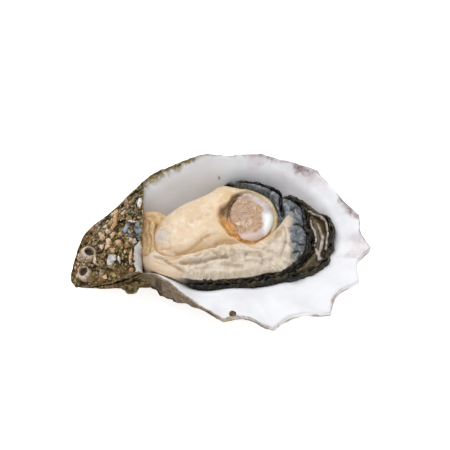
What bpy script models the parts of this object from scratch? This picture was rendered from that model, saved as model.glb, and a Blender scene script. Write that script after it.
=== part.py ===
"""An opened oyster in its cupped half shell, as closed solids.

The cup is a ball pressed into a dish. The soft parts lie in the dish, each a closed solid whose
underside follows the inside of the cup. A crust of growth with two barnacles covers the hinge end.

Frame: +X from the hinge towards the wide lip, +Y towards the high back wall, +Z up. The part rests
on its flat keel at z = 0, and the origin is under the middle of its bounding box.
Tables are in millimetres and degrees. A bearing turns anticlockwise from +X, seen from above.
"""

import math

import bmesh
import bpy
from mathutils import Vector

MM = 0.001
CENTRE_SHIFT = (0.0, 0.7, 0.0)  # brings the middle of the bounding box over the origin

# ---------------------------------------------------------------- cup
CUP_MIDDLE = (2.0, 2.0)
CUP_SPOKES = 72
CUP_RINGS = 30
FLOOR_HEIGHT = 5.0
BOWL_POWER = 3.0
BOWL_BLEND = 2.5  # half the width over which the bowl turns into the lip around it

# bearing, reach of the smooth margin, its height
MARGIN = (
    (0, 48, 19.5),
    (20, 43.6, 21),
    (40, 39.2, 22.5),
    (55, 34.7, 24),
    (70, 31.8, 25),
    (86, 29.6, 25.5),
    (105, 30.2, 25.5),
    (128, 32.6, 25),
    (147, 36, 23),
    (160, 40.2, 18.4),
    (166, 43.8, 16.4),
    (172, 48.8, 14.4),
    (178, 52.2, 12.8),
    (184, 54.4, 11),
    (195, 57, 8),
    (203, 43, 13),
    (208, 34, 18.5),
    (222, 30, 21),
    (241, 30.5, 20.5),
    (255, 31.5, 19.5),
    (276, 33.4, 18.5),
    (294, 36.5, 18),
    (307, 40.8, 18),
    (322, 45.0, 18),
    (342, 47.6, 18.5),
)

# bearing, reach of the bowl, slope of the lip outside it
BOWL = (
    (0, 40.6, 0.4),
    (40, 33, 0.6),
    (90, 25, 1.3),
    (135, 29, 1.2),
    (165, 35, 0.4),
    (190, 37, 0.1),
    (210, 31, 0.8),
    (228, 27, 1.1),
    (255, 23, 0.4),
    (275, 21, 0.2),
    (300, 23.4, 0.18),
    (313, 26, 0.16),
    (325, 29.6, 0.16),
    (335, 34.6, 0.18),
    (346, 38, 0.25),
)

# pointed folds of the margin: bearing, reach past the margin, drop at the margin, half width
FLUTES = (
    (104, 0.6, 0.5, 14),
    (68, 0.8, 0.8, 15),
    (37, 1.8, 1.0, 12),
    (9, 2.6, 1.1, 10),
    (354, 4.2, 1.2, 8),
    (339, 4.0, 1.2, 9),
    (320, 4.0, 1.2, 10),
    (294, 4.6, 1.6, 12),
    (268, 2.0, 1.0, 10),
)
FLUTE_START = 0.68  # share of the reach at which a fold starts

WALL_KEEL = 6.5  # wall thickness under the middle, near the margin and at its edge
WALL_LIP = 2.4
WALL_EDGE = 0.9
HINGE_BEARING = 190.0
HINGE_HALF_WIDTH = 60.0
HINGE_WALL = 24.0
HINGE_UNDERSIDE = 4.0  # height of the beak's underside at its tip
HULL_POWER = 4.0
KEEL_FLATTENING = 0.3  # sinks the round underside below the plane it rests on

# ---------------------------------------------------------------- soft parts
GAP = 0.5  # clear of the cup and of each other
REACH_AROUND = 0.8  # the soft parts clear the cup's wall by this sideways
BODY_MIDDLE = (-2.0, 7.0)
# bearing about the body's middle, reach
BODY_OUTLINE = (
    (0, 23.2),
    (22, 22.2),
    (46, 18.4),
    (65, 16.4),
    (80, 16.0),
    (101, 12.8),
    (126, 12.4),
    (149, 15.6),
    (165, 19.2),
    (178, 21.4),
    (198, 23.2),
    (214, 24.0),
    (222, 22.4),
    (234, 18.0),
    (245, 14.4),
    (265, 11.4),
    (290, 10.8),
    (310, 12.6),
    (317, 14.4),
    (324, 17.2),
    (337, 19.8),
    (346, 21.7),
)
BODY_TOP = 22.5
BODY_SIDE = 18.0

MUSCLE_MIDDLE = (10.6, 8.5)
MUSCLE_HALF_LENGTH = 8.4
MUSCLE_HALF_WIDTH = 9.8
MUSCLE_TOP = 20.2

# bearing about the body's middle, reach of the mantle's outer edge
MANTLE_OUTLINE = (
    (0, 32.2),
    (17, 30.7),
    (33, 27.6),
    (56, 22.4),
    (78, 17.6),
    (214, 28.6),
    (222, 28.0),
    (239, 26.2),
    (257, 24.4),
    (270, 25.4),
    (289, 27),
    (300, 28.4),
    (312, 30.4),
    (328, 33),
    (347, 33.1),
)
MANTLE_START = 76.0  # bearings of its two ends, counted clockwise round the front
MANTLE_END = -143.0
MANTLE_INNER_TOP = 20.5
MANTLE_OUTER_TOP = 18.6

# bearing about the body's middle, reach of the gills' outer edge
GILL_OUTLINE = (
    (20, 33.2),
    (10, 37.8),
    (-4, 43.2),
    (-20, 43.2),
    (-29, 40.4),
    (-37, 35.8),
    (-44, 33),
)
GILL_START = 20.0
GILL_END = -44.0
GILL_INNER_TOP = 18.6
GILL_OUTER_TOP = 18.2

PALP_FRONT = (-26.5, -6.2)
PALP_BACK = (-25.6, 11.6)
PALP_HALF_WIDTH = 1.2
PALP_TOP = 19.2

# ---------------------------------------------------------------- hinge crust and barnacles
CRUST_FACE = -28.2  # the broken face that looks along the cup
CRUST_TIP = -52.6
# share of the way from the face to the tip, front edge, back edge
CRUST_EDGES = (
    (0.0, -13.6, 21.0),
    (0.2, -12.8, 16.8),
    (0.45, -12.4, 12.2),
    (0.62, -12.6, 9.6),
    (0.76, -12.8, 6.0),
    (0.88, -12.8, 1.4),
    (1.0, -12.8, -7.0),
)
CRUST_TOP_FACE = 26.0
CRUST_TOP_TIP = 12.0
CRUST_AROUND = 2.5  # and the crust by this

BARNACLES = (  # middle, radius at the foot, height, clearance from the crust's curve under the foot
    ((-46.6, -5.4), 2.6, 2.4, 0.4),
    ((-48.8, -10.2), 2.3, 2.2, 1.2),
)
BARNACLE_MOUTH = 0.55  # the mouth's radius as a share of the foot's
BARNACLE_DEPTH = 0.6  # the crater's depth as a share of the height


def smooth_step(low, high, value):
    """0 below low, 1 above high, with a smooth rise between."""
    share = min(1.0, max(0.0, (value - low) / (high - low)))
    return share * share * (3.0 - 2.0 * share)


def bearing_gap(bearing, other):
    """The signed turn from other to bearing, from -180 to 180 degrees."""
    return (bearing - other + 180.0) % 360.0 - 180.0


def hermite(share, before, start, end, after, spans):
    """A value on the smooth curve through four knots, between the middle two."""
    span_before, span, span_after = spans
    tangent_start = span * (end - before) / (span_before + span)
    tangent_end = span * (after - start) / (span + span_after)
    square, cube = share**2, share**3
    return (
        (2 * cube - 3 * square + 1) * start
        + (cube - 2 * square + share) * tangent_start
        + (3 * square - 2 * cube) * end
        + (cube - square) * tangent_end
    )


def round_curve(table, column):
    """A smooth periodic function of the bearing through one column of a table."""
    knots = sorted((row[0] % 360.0, float(row[column])) for row in table)
    count = len(knots)

    def value(bearing):
        turned = bearing % 360.0
        at = max((i for i in range(count) if knots[i][0] <= turned), default=-1)
        picked = [knots[(at + step) % count] for step in (-1, 0, 1, 2)]
        spans = [(picked[i + 1][0] - picked[i][0]) % 360.0 for i in range(3)]
        share = ((turned - picked[1][0]) % 360.0) / spans[1]
        return hermite(share, *(knot[1] for knot in picked), spans)

    return value


def open_curve(table, column):
    """A smooth function of the first column of a table, held level past its ends."""
    knots = sorted((float(row[0]), float(row[column])) for row in table)
    last = len(knots) - 1

    def value(place):
        held = min(max(place, knots[0][0]), knots[last][0])
        at = min(max(i for i in range(len(knots)) if knots[i][0] <= held), last - 1)
        before = knots[max(at - 1, 0)]
        after = knots[min(at + 2, last)]
        start, end = knots[at], knots[at + 1]
        span = end[0] - start[0]
        spans = (start[0] - before[0], span, after[0] - end[0])
        return hermite((held - start[0]) / span, before[1], start[1], end[1], after[1], spans)

    return value


margin_reach = round_curve(MARGIN, 1)
margin_height = round_curve(MARGIN, 2)
bowl_reach = round_curve(BOWL, 1)
lip_slope = round_curve(BOWL, 2)
body_reach = round_curve(BODY_OUTLINE, 1)
mantle_reach = round_curve(MANTLE_OUTLINE, 1)
gill_reach = open_curve(GILL_OUTLINE, 1)
crust_front = open_curve(CRUST_EDGES, 1)
crust_back = open_curve(CRUST_EDGES, 2)


def polar(x, y, middle):
    """The distance and bearing of a place from a middle."""
    across, up = x - middle[0], y - middle[1]
    return math.hypot(across, up), math.degrees(math.atan2(up, across))


def on_bearing(middle, reach, bearing):
    """The place at a distance and bearing from a middle."""
    turn = math.radians(bearing)
    return middle[0] + reach * math.cos(turn), middle[1] + reach * math.sin(turn)


def fold_share(bearing, row):
    """1 in the middle of one fold of the margin, falling evenly to 0 at its sides."""
    return max(0.0, 1.0 - abs(bearing_gap(bearing, row[0])) / row[3])


def rim_reach(bearing):
    """The margin's distance from the cup's middle, with the points of its folds."""
    return margin_reach(bearing) + sum(row[1] * fold_share(bearing, row) ** 1.5 for row in FLUTES)


def fold_drop(bearing):
    """How far the rounded folds lower the margin."""
    return sum(row[2] * smooth_step(0.0, 1.0, fold_share(bearing, row)) for row in FLUTES)


def inner_height(x, y):
    """The height of the cup's inner surface over a place."""
    distance, bearing = polar(x, y, CUP_MIDDLE)
    reach = rim_reach(bearing)
    turn_reach = bowl_reach(bearing)
    turn_height = margin_height(bearing) - lip_slope(bearing) * (margin_reach(bearing) - turn_reach)
    bowl = FLOOR_HEIGHT + (turn_height - FLOOR_HEIGHT) * (distance / turn_reach) ** BOWL_POWER
    lip = turn_height + lip_slope(bearing) * (distance - turn_reach)
    share = smooth_step(turn_reach - BOWL_BLEND, turn_reach + BOWL_BLEND, distance)
    fold = fold_drop(bearing) * smooth_step(FLUTE_START, 1.0, distance / reach)
    return bowl + (lip - bowl) * share - fold


def inner_slope(x, y):
    """The steepness of the inner surface away from the cup's middle."""
    distance, bearing = polar(x, y, CUP_MIDDLE)
    step = 0.5
    near = on_bearing(CUP_MIDDLE, max(distance - step, 0.0), bearing)
    return (inner_height(x, y) - inner_height(*near)) / step


def over_cup(x, y, around):
    """The highest that the inner surface stands within a distance of a place, plus the gap."""
    turns = (math.radians(45 * step) for step in range(8))
    places = [(x + around * math.cos(turn), y + around * math.sin(turn)) for turn in turns]
    return max(inner_height(*place) for place in [(x, y), *places]) + GAP


def hinge_share(bearing):
    """1 at the hinge, falling to 0 past the sides of the beak."""
    turn = abs(bearing_gap(bearing, HINGE_BEARING))
    return 1.0 - smooth_step(0.0, HINGE_HALF_WIDTH, turn)


def outer_height(x, y):
    """The height of the cup's outer surface under a place."""
    distance, bearing = polar(x, y, CUP_MIDDLE)
    share = min(distance / rim_reach(bearing), 1.0)
    hinge = hinge_share(bearing)
    wall = WALL_KEEL + (WALL_LIP - WALL_KEEL) * smooth_step(0.1, 0.75, share)
    wall += hinge * HINGE_WALL * smooth_step(0.2, 0.7, share)
    steep = min(inner_slope(x, y), 2.2)
    offset = inner_height(x, y) - wall * math.sqrt(1.0 + steep * steep)
    rise = (1.0 - share**HULL_POWER) ** (1.0 / HULL_POWER)
    base = hinge * HINGE_UNDERSIDE * smooth_step(0.6, 0.95, share)
    hull = base + (margin_height(bearing) - WALL_EDGE - base) * (1.0 - rise) - KEEL_FLATTENING
    edge = inner_height(x, y) - WALL_EDGE
    return min(edge, max(0.0, offset, hull))


# ---------------------------------------------------------------- making
def clear_scene():
    """Removes what the startup file holds."""
    for item in list(bpy.data.objects):
        bpy.data.objects.remove(item)


def finish(name, colour, roughness):
    """A plain material of one colour."""
    made = bpy.data.materials.new(name)
    made.use_nodes = True
    shader = made.node_tree.nodes["Principled BSDF"]
    shader.inputs["Base Color"].default_value = (*colour, 1.0)
    shader.inputs["Roughness"].default_value = roughness
    return made


def add_object(name, shape, collection, material=None):
    """A named object from a bmesh that is in millimetres about the cup's own centre."""
    bmesh.ops.recalc_face_normals(shape, faces=shape.faces)
    bmesh.ops.translate(shape, vec=Vector(CENTRE_SHIFT), verts=shape.verts)
    bmesh.ops.scale(shape, vec=Vector((MM, MM, MM)), verts=shape.verts)
    mesh = bpy.data.meshes.new(name)
    shape.to_mesh(mesh)
    shape.free()
    mesh.shade_smooth()
    if material:
        mesh.materials.append(material)
    made = bpy.data.objects.new(name, mesh)
    collection.objects.link(made)
    return made


def pressed_ball(spokes, rings, place):
    """A unit ball whose vertices go where place(share, bearing, side) says.

    share runs from 0 at the poles to 1 at the equator, and side is 1 above it, -1 below, 0 on it.
    """
    shape = bmesh.new()
    bmesh.ops.create_uvsphere(shape, u_segments=spokes, v_segments=rings, radius=1.0)
    for vertex in shape.verts:
        share, bearing = polar(vertex.co.x, vertex.co.y, (0.0, 0.0))
        side = 0 if abs(vertex.co.z) < 1e-4 else math.copysign(1, vertex.co.z)
        vertex.co = place(min(share, 1.0), bearing, side)
    return shape


def pressed_slab(along, across, place):
    """A slab whose vertices go where place(along, across, top) says, each from 0 to 1."""
    shape = bmesh.new()
    bmesh.ops.create_grid(shape, x_segments=along, y_segments=across, size=0.5)
    grown = bmesh.ops.extrude_face_region(shape, geom=shape.faces[:])
    raised = {item for item in grown["geom"] if isinstance(item, bmesh.types.BMVert)}
    for vertex in shape.verts:
        top = 1.0 if vertex in raised else 0.0
        vertex.co = place(vertex.co.x + 0.5, vertex.co.y + 0.5, top)
    return shape


def cup_place(share, bearing, side):
    """A point of the cup: its inside above the ball's equator and its outside below."""
    x, y = on_bearing(CUP_MIDDLE, share * rim_reach(bearing), bearing)
    inner, outer = inner_height(x, y), outer_height(x, y)
    return Vector((x, y, {1: inner, -1: outer, 0: (inner + outer) / 2}[side]))


def body_place(share, bearing, side):
    """A point of the body: domed above, and following the cup below."""
    x, y = on_bearing(BODY_MIDDLE, share * (body_reach(bearing) - GAP / 2), bearing)
    under = over_cup(x, y, REACH_AROUND)
    over = BODY_SIDE + (BODY_TOP - BODY_SIDE) * (1.0 - share**3) - 2.0 * share**12
    return Vector((x, y, {1: over, -1: under, 0: (0.3 * under + 0.7 * over)}[side]))


def muscle_place(grow, overshoot):
    """The place function of the muscle column, grown all round and past both its ends."""

    def place(share, bearing, side):
        turn = math.radians(bearing)
        x = MUSCLE_MIDDLE[0] + share * (MUSCLE_HALF_LENGTH + grow) * math.cos(turn)
        y = MUSCLE_MIDDLE[1] + share * (MUSCLE_HALF_WIDTH + grow) * math.sin(turn)
        under = over_cup(x, y, REACH_AROUND) - overshoot
        over = MUSCLE_TOP + overshoot - 0.6 * (1.0 - share**2)
        return Vector((x, y, {1: over, -1: under, 0: (under + over) / 2}[side]))

    return place


def ring_place(start, end, inner_reach, outer_reach, tops, pinch):
    """The place function of a band of flesh round the body, its ends drawn in by pinch."""

    def place(along, across, top):
        bearing = start + (end - start) * along
        inner = inner_reach(bearing) + GAP / 2
        outer = max(outer_reach(bearing) - GAP / 2, inner + 0.8)
        x, y = on_bearing(BODY_MIDDLE, inner + (outer - inner) * across, bearing)
        under = over_cup(x, y, REACH_AROUND)
        over = tops[0] + (tops[1] - tops[0]) * across - 0.9 * (2 * across - 1) ** 6
        over -= pinch * (2 * along - 1) ** 12
        return Vector((x, y, max(over, under + 0.8) if top else under))

    return place


def palp_place(along, across, top):
    """A point of the fold of flesh at the hinge end of the body."""
    x = PALP_BACK[0] + (PALP_FRONT[0] - PALP_BACK[0]) * along
    y = PALP_BACK[1] + (PALP_FRONT[1] - PALP_BACK[1]) * along
    x += PALP_HALF_WIDTH * (2 * across - 1) * (1.0 - 0.5 * (2 * along - 1) ** 4)
    under = over_cup(x, y, REACH_AROUND)
    over = PALP_TOP - 1.5 * (2 * along - 1) ** 4 - 0.8 * (2 * across - 1) ** 4
    return Vector((x, y, max(over, under + 0.8) if top else under))


def crust_top(share, across):
    """The height of the crust's upper side."""
    ridge = CRUST_TOP_FACE + (CRUST_TOP_TIP - CRUST_TOP_FACE) * share**1.6
    return ridge - 7.0 * abs(2 * across - 1) ** 3 - 3.0 * smooth_step(0.85, 1.0, share)


def crust_place(along, across, top):
    """A point of the crust, which lies on the hinge end of the cup."""
    x = CRUST_FACE + (CRUST_TIP - CRUST_FACE) * along
    front, back = crust_front(along), crust_back(along)
    y = front + (back - front) * across
    under = over_cup(x, y, CRUST_AROUND)
    return Vector((x, y, max(crust_top(along, across), under + 1.0) if top else under))


def crust_point(x, y):
    """The point of the crust's upper side over a place."""
    share = (x - CRUST_FACE) / (CRUST_TIP - CRUST_FACE)
    front, back = crust_front(share), crust_back(share)
    return Vector((x, y, crust_top(share, (y - front) / (back - front))))


def crust_normal(x, y, step):
    """The crust's upward normal, taken over twice the step."""
    along = crust_point(x + step, y) - crust_point(x - step, y)
    across = crust_point(x, y + step) - crust_point(x, y - step)
    return along.cross(across).normalized()


def barnacle(middle, radius, height, clearance):
    """A barnacle: a cone whose top is drawn in and sunk to a crater."""
    shape = bmesh.new()
    bmesh.ops.create_cone(
        shape,
        cap_ends=True,
        segments=20,
        radius1=radius,
        radius2=radius * (BARNACLE_MOUTH + 0.12),
        depth=height,
    )
    lid = max(shape.faces, key=lambda face: face.calc_center_median().z)
    bmesh.ops.inset_region(shape, faces=[lid], thickness=0.12 * radius)
    bmesh.ops.inset_region(shape, faces=[lid], thickness=0.15 * radius, depth=-BARNACLE_DEPTH * height)
    normal = crust_normal(*middle, radius)
    stand = crust_point(*middle) + normal * (clearance + height / 2)
    turn = normal.to_track_quat("Z", "Y").to_matrix()
    bmesh.ops.rotate(shape, cent=Vector(), matrix=turn, verts=shape.verts)
    bmesh.ops.translate(shape, vec=stand, verts=shape.verts)
    return shape


def cut_well(body, collection):
    """Cuts the well in the body that the muscle stands in."""
    cutter = add_object(
        "muscle_well", pressed_ball(28, 10, muscle_place(GAP, 3.0)), collection
    )
    cutter.hide_render = True
    cutter.display_type = "WIRE"
    cut = body.modifiers.new("muscle_well", "BOOLEAN")
    cut.operation = "DIFFERENCE"
    cut.object = cutter


def main():
    """Builds every solid."""
    clear_scene()
    parts = bpy.data.collections.new("oyster")
    cutters = bpy.data.collections.new("cutters")
    for collection in (parts, cutters):
        bpy.context.scene.collection.children.link(collection)

    pearl = finish("pearl", (0.86, 0.86, 0.87), 0.25)
    growth = finish("growth", (0.13, 0.09, 0.045), 0.85)
    lime = finish("lime", (0.42, 0.36, 0.28), 0.8)
    cream = finish("cream", (0.77, 0.58, 0.37), 0.3)
    dusky = finish("dusky", (0.45, 0.32, 0.26), 0.25)
    slate = finish("slate", (0.18, 0.2, 0.21), 0.3)
    olive = finish("olive", (0.1, 0.07, 0.04), 0.35)
    ochre = finish("ochre", (0.42, 0.25, 0.11), 0.3)

    add_object("shell", pressed_ball(CUP_SPOKES, CUP_RINGS, cup_place), parts, pearl)
    add_object("hinge_crust", pressed_slab(14, 12, crust_place), parts, growth)
    for number, row in enumerate(BARNACLES, 1):
        add_object(f"barnacle_{number}", barnacle(*row), parts, lime)

    body = add_object("body", pressed_ball(48, 16, body_place), parts, cream)
    cut_well(body, cutters)
    add_object("muscle", pressed_ball(28, 10, muscle_place(0.0, 0.0)), parts, dusky)
    add_object("palps", pressed_slab(10, 4, palp_place), parts, ochre)
    mantle = ring_place(
        MANTLE_START,
        MANTLE_END,
        body_reach,
        mantle_reach,
        (MANTLE_INNER_TOP, MANTLE_OUTER_TOP),
        2.0,
    )
    add_object("mantle", pressed_slab(48, 5, mantle), parts, slate)
    gills = ring_place(
        GILL_START,
        GILL_END,
        mantle_reach,
        gill_reach,
        (GILL_INNER_TOP, GILL_OUTER_TOP),
        1.0,
    )
    add_object("gills", pressed_slab(22, 4, gills), parts, olive)


main()
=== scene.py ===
"""Looks of an opened oyster in its cupped half shell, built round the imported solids.

The shapes are sculpted over the plan in millimetres, about the cup's own centre. A bearing turns
anticlockwise from +X, in degrees, seen from above. Clay carries each shape into the frame.
"""

from __future__ import annotations

import itertools
import logging
import math
from dataclasses import dataclass
from enum import Enum

import bpy
import numpy as np
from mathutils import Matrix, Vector

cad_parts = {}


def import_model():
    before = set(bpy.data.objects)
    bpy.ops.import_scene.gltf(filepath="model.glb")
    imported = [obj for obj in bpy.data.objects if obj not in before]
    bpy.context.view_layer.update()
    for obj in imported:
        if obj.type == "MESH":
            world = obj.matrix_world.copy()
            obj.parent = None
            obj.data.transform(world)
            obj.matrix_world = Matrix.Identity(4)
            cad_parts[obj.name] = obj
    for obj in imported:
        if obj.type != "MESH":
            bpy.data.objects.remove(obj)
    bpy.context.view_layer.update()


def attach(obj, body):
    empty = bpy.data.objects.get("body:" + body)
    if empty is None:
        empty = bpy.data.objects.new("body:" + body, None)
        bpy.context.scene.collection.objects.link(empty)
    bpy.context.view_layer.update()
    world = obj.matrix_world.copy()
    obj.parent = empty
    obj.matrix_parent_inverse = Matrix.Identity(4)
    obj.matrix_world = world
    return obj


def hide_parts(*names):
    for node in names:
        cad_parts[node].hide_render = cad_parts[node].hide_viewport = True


MM = 0.001
CENTRE_SHIFT = np.array((0.0, 0.7, 0.0))
BODY = "root"
LOW_BITS = 0x7FFFFFFF
LOG = logging.getLogger("oyster")

Array = np.ndarray
Place = tuple[float, float]
Colour = tuple[float, float, float]
Piece = bpy.types.Object
Node = bpy.types.Node
Socket = bpy.types.NodeSocket
Tree = bpy.types.NodeTree


# ------------------------------------------------------------------ lines and noise
def stack(*columns: Array | float) -> Array:
    """Returns columns as rows; a bare number fills its whole column."""
    return np.stack(np.broadcast_arrays(*columns), axis=1)


def rise(low: float | Array, high: float | Array, value: Array) -> Array:
    """Returns 0 below low and 1 above high, with a smooth rise between."""
    share = np.clip((value - low) / (high - low), 0.0, 1.0)
    return share * share * (3.0 - 2.0 * share)


def within(value: Array, first: float, full: float, last: float, none: float) -> Array:
    """Returns 1 from full to last, with a smooth rise from first and a smooth fall to none."""
    return rise(first, full, value) * rise(none, last, value)


def bump(value: Array, width: float | Array) -> Array:
    """Returns a bell that is 1 at 0 and fades over the width."""
    return np.exp(-((value / width) ** 2))


def turn_gap(bearing: Array, other: float) -> Array:
    """Returns the signed turn from other to each bearing, from -180 to 180."""
    return (bearing - other + 180.0) % 360.0 - 180.0


def toward(bearing: Array, other: float, full: float, none: float) -> Array:
    """Returns 1 up to full degrees away from a bearing, and 0 past none degrees away."""
    return rise(none, full, np.abs(turn_gap(bearing, other)))


def polar(plan: Array, middle: Place = (0.0, 0.0)) -> tuple[Array, Array]:
    """Returns the distance and bearing of each place from a middle."""
    across, up = plan[:, 0] - middle[0], plan[:, 1] - middle[1]
    return np.hypot(across, up), np.degrees(np.arctan2(up, across))


def on_bearing(reach: float | Array, bearing: Array, middle: Place = (0.0, 0.0)) -> Array:
    """Returns the places over the plan at a distance and bearing from a middle, as rows."""
    turn = np.radians(bearing)
    return stack(middle[0] + reach * np.cos(turn), middle[1] + reach * np.sin(turn), 0.0)


def raised(plan: Array, height: Array) -> Array:
    """Returns places over the plan, each raised to its height."""
    return plan + stack(0.0, 0.0, height)


def scramble(cells: Array, factors: tuple[int, int, int], seed: int) -> Array:
    """Mixes the counts of cells into numbers that look drawn by lot.

    Args:
        cells: whole counts, as rows of three.
        factors: what each of the three is multiplied by.
        seed: picks one of many mixes.

    Returns:
        A whole number for each cell.
    """
    mixed = cells[:, 0] * factors[0] ^ cells[:, 1] * factors[1] ^ cells[:, 2] * factors[2]
    mixed = (mixed ^ (seed * 9176263)) & LOW_BITS
    return ((mixed ^ (mixed >> 13)) * 1274126177) & LOW_BITS


def lattice(points: Array, seed: int) -> Array:
    """Smooth noise over space.

    Args:
        points: places, as rows of three numbers, in units of the noise's grain.
        seed: picks one of many noises.

    Returns:
        A value from -1 to 1 for each place.
    """
    cell = np.floor(points).astype(np.int64)
    within = points - cell
    fade = within**3 * (within * (within * 6.0 - 15.0) + 10.0)
    total = np.zeros(len(points))
    for corner in itertools.product((0, 1), repeat=3):
        mixed = scramble(cell + np.array(corner), (73856093, 19349663, 83492791), seed)
        mixed = ((mixed ^ (mixed >> 15)) * 668265263) & LOW_BITS
        value = ((mixed ^ (mixed >> 12)) & 0xFFFF) / 32767.5 - 1.0
        weight = np.where(np.array(corner, bool), fade, 1.0 - fade).prod(axis=1)
        total += value * weight
    return total


def grain(points: Array, size: float, octaves: int = 3, seed: int = 1) -> Array:
    """Noise of several sizes, each half as coarse and half as strong as the one before.

    Args:
        points: places, as rows of three numbers.
        size: the coarsest grain's size, in the same unit.
        octaves: how many sizes are added.
        seed: picks one of many noises.

    Returns:
        A value of about -1 to 1 for each place.
    """
    total = np.zeros(len(points))
    for octave in range(octaves):
        total += 0.5**octave * lattice(points * (2**octave / size) + 7.3 * octave, seed + octave)
    return total / (2.0 - 0.5 ** (octaves - 1))


def pebbles(points: Array, size: float, seed: int = 1) -> tuple[Array, Array]:
    """A packing of rounded cells.

    Args:
        points: places, as rows of three numbers.
        size: the cells' size, in the same unit.
        seed: picks one of many packings.

    Returns:
        For each place, its distance from its cell's middle in cell sizes, and the cell's own
        number from 0 to 1.
    """
    scaled = points / size
    home = np.floor(scaled).astype(np.int64)
    best = np.full(len(points), 9.0)
    tint = np.zeros(len(points))
    for step in itertools.product((-1, 0, 1), repeat=3):
        cell = home + np.array(step)
        mixed = scramble(cell, (92837111, 689287499, 283923481), seed)
        shifts = stack(*(((mixed >> shift) & 0x3FF) / 1023.0 for shift in (1, 9, 17)))
        apart = np.linalg.norm(cell + 0.15 + 0.7 * shifts - scaled, axis=1)
        nearer = apart < best
        best = np.where(nearer, apart, best)
        tint = np.where(nearer, ((mixed >> 5) & 0x3FF) / 1023.0, tint)
    return best, tint


@dataclass(frozen=True)
class Track:
    """A smooth curve through knots; a closed one repeats every 360 degrees."""

    knots: tuple[tuple[float, ...], ...]
    closed: bool = True

    def at(self, place: Array, column: int = 1) -> Array:
        """Reads the curve.

        Args:
            place: where it is read, in the first column's unit.
            column: which of the knots' values is read.

        Returns:
            The value at each place; an open curve is level past its ends.
        """
        rows = sorted((row[0] % 360.0 if self.closed else row[0], row[column]) for row in self.knots)
        spots, values = np.array(rows, float).T
        if self.closed:
            spots = np.concatenate((spots - 360.0, spots, spots + 360.0))
            values = np.tile(values, 3)
            place = place % 360.0
        else:
            place = np.clip(place, spots[0], spots[-1])
        slopes = np.gradient(values, spots)
        slopes[1:-1] = (values[2:] - values[:-2]) / (spots[2:] - spots[:-2])
        at = np.clip(np.searchsorted(spots, place, side="right") - 1, 0, len(spots) - 2)
        span = spots[at + 1] - spots[at]
        share = (place - spots[at]) / span
        square, cube = share**2, share**3
        return (
            (2 * cube - 3 * square + 1) * values[at]
            + (cube - 2 * square + share) * span * slopes[at]
            + (3 * square - 2 * cube) * values[at + 1]
            + (cube - square) * span * slopes[at + 1]
        )


def track(*knots: tuple[float, ...], closed: bool = True) -> Track:
    """Returns a curve through knots, each a bearing or share and the values there."""
    return Track(knots, closed)


@dataclass(frozen=True)
class Trail:
    """A smooth line over the plan, through a few places."""

    places: tuple[Place, ...]

    def walk(self, share: Array) -> tuple[Array, Array]:
        """Follows the line.

        Args:
            share: how far along, from 0 to 1.

        Returns:
            The places, and the unit directions to the line's left, both as rows of two.
        """
        spots = np.array(self.places, float)
        steps = np.concatenate(([0.0], np.cumsum(np.linalg.norm(np.diff(spots, axis=0), axis=1))))
        steps /= steps[-1]
        line = track(*((step, *spot) for step, spot in zip(steps, spots)), closed=False)
        found = stack(line.at(share, 1), line.at(share, 2))
        ahead = np.clip(share + 0.004, 0.0, 1.0)
        behind = np.clip(share - 0.004, 0.0, 1.0)
        way = stack(*(line.at(ahead, k) - line.at(behind, k) for k in (1, 2)))
        way /= np.linalg.norm(way, axis=1)[:, None]
        return found, stack(-way[:, 1], way[:, 0])

    def beside(self, share: Array, aside: Array) -> Array:
        """Returns the places at a share along the line and a distance to its left."""
        spots, lefts = self.walk(share)
        return stack(*(spots + lefts * aside[:, None]).T, 0.0)

    def shifted(self, aside: float, middle: Place) -> Trail:
        """Moves the line away from a middle, or towards it.

        Args:
            aside: how far, in millimetres.
            middle: the middle.

        Returns:
            The moved line.
        """
        spots = np.array(self.places) - middle
        spots *= 1.0 + aside / np.linalg.norm(spots, axis=1)[:, None]
        return Trail(tuple(map(tuple, spots + middle)))

    def away(self, plan: Array) -> tuple[Array, Array]:
        """Measures places against the line.

        Args:
            plan: the places.

        Returns:
            Each place's distance, and its share along the line.
        """
        marks = np.linspace(0.0, 1.0, 120)
        spots, _ = self.walk(marks)
        gaps = (plan[:, None, 0] - spots[None, :, 0]) ** 2 + (plan[:, None, 1] - spots[None, :, 1]) ** 2
        near = gaps.argmin(axis=1)
        return np.sqrt(gaps[np.arange(len(plan)), near]), marks[near]


def trail(*places: Place) -> Trail:
    """Returns a line through places."""
    return Trail(places)


@dataclass(frozen=True)
class Fold:
    """A crease or a ridge along a line: its height at the middle, and its half width."""

    line: Trail
    height: float
    width: float

    def relief(self, plan: Array) -> Array:
        """Works out the fold's height, faded at its ends.

        Args:
            plan: places over the plan.

        Returns:
            The height that the fold adds at each.
        """
        distance, share = self.line.away(plan)
        ends = rise(0.0, 0.15, share) * rise(0.0, 0.15, 1.0 - share)
        return self.height * bump(distance, self.width) * (0.25 + 0.75 * ends)


def fold(height: float, width: float, *places: Place) -> Fold:
    """Returns a fold through places."""
    return Fold(Trail(places), height, width)


# ------------------------------------------------------------------ modelling
def deselect() -> None:
    """Leaves nothing selected and nothing in edit mode."""
    if bpy.context.object and bpy.context.object.mode != "OBJECT":
        bpy.ops.object.mode_set(mode="OBJECT")
    bpy.ops.object.select_all(action="DESELECT")


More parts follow.
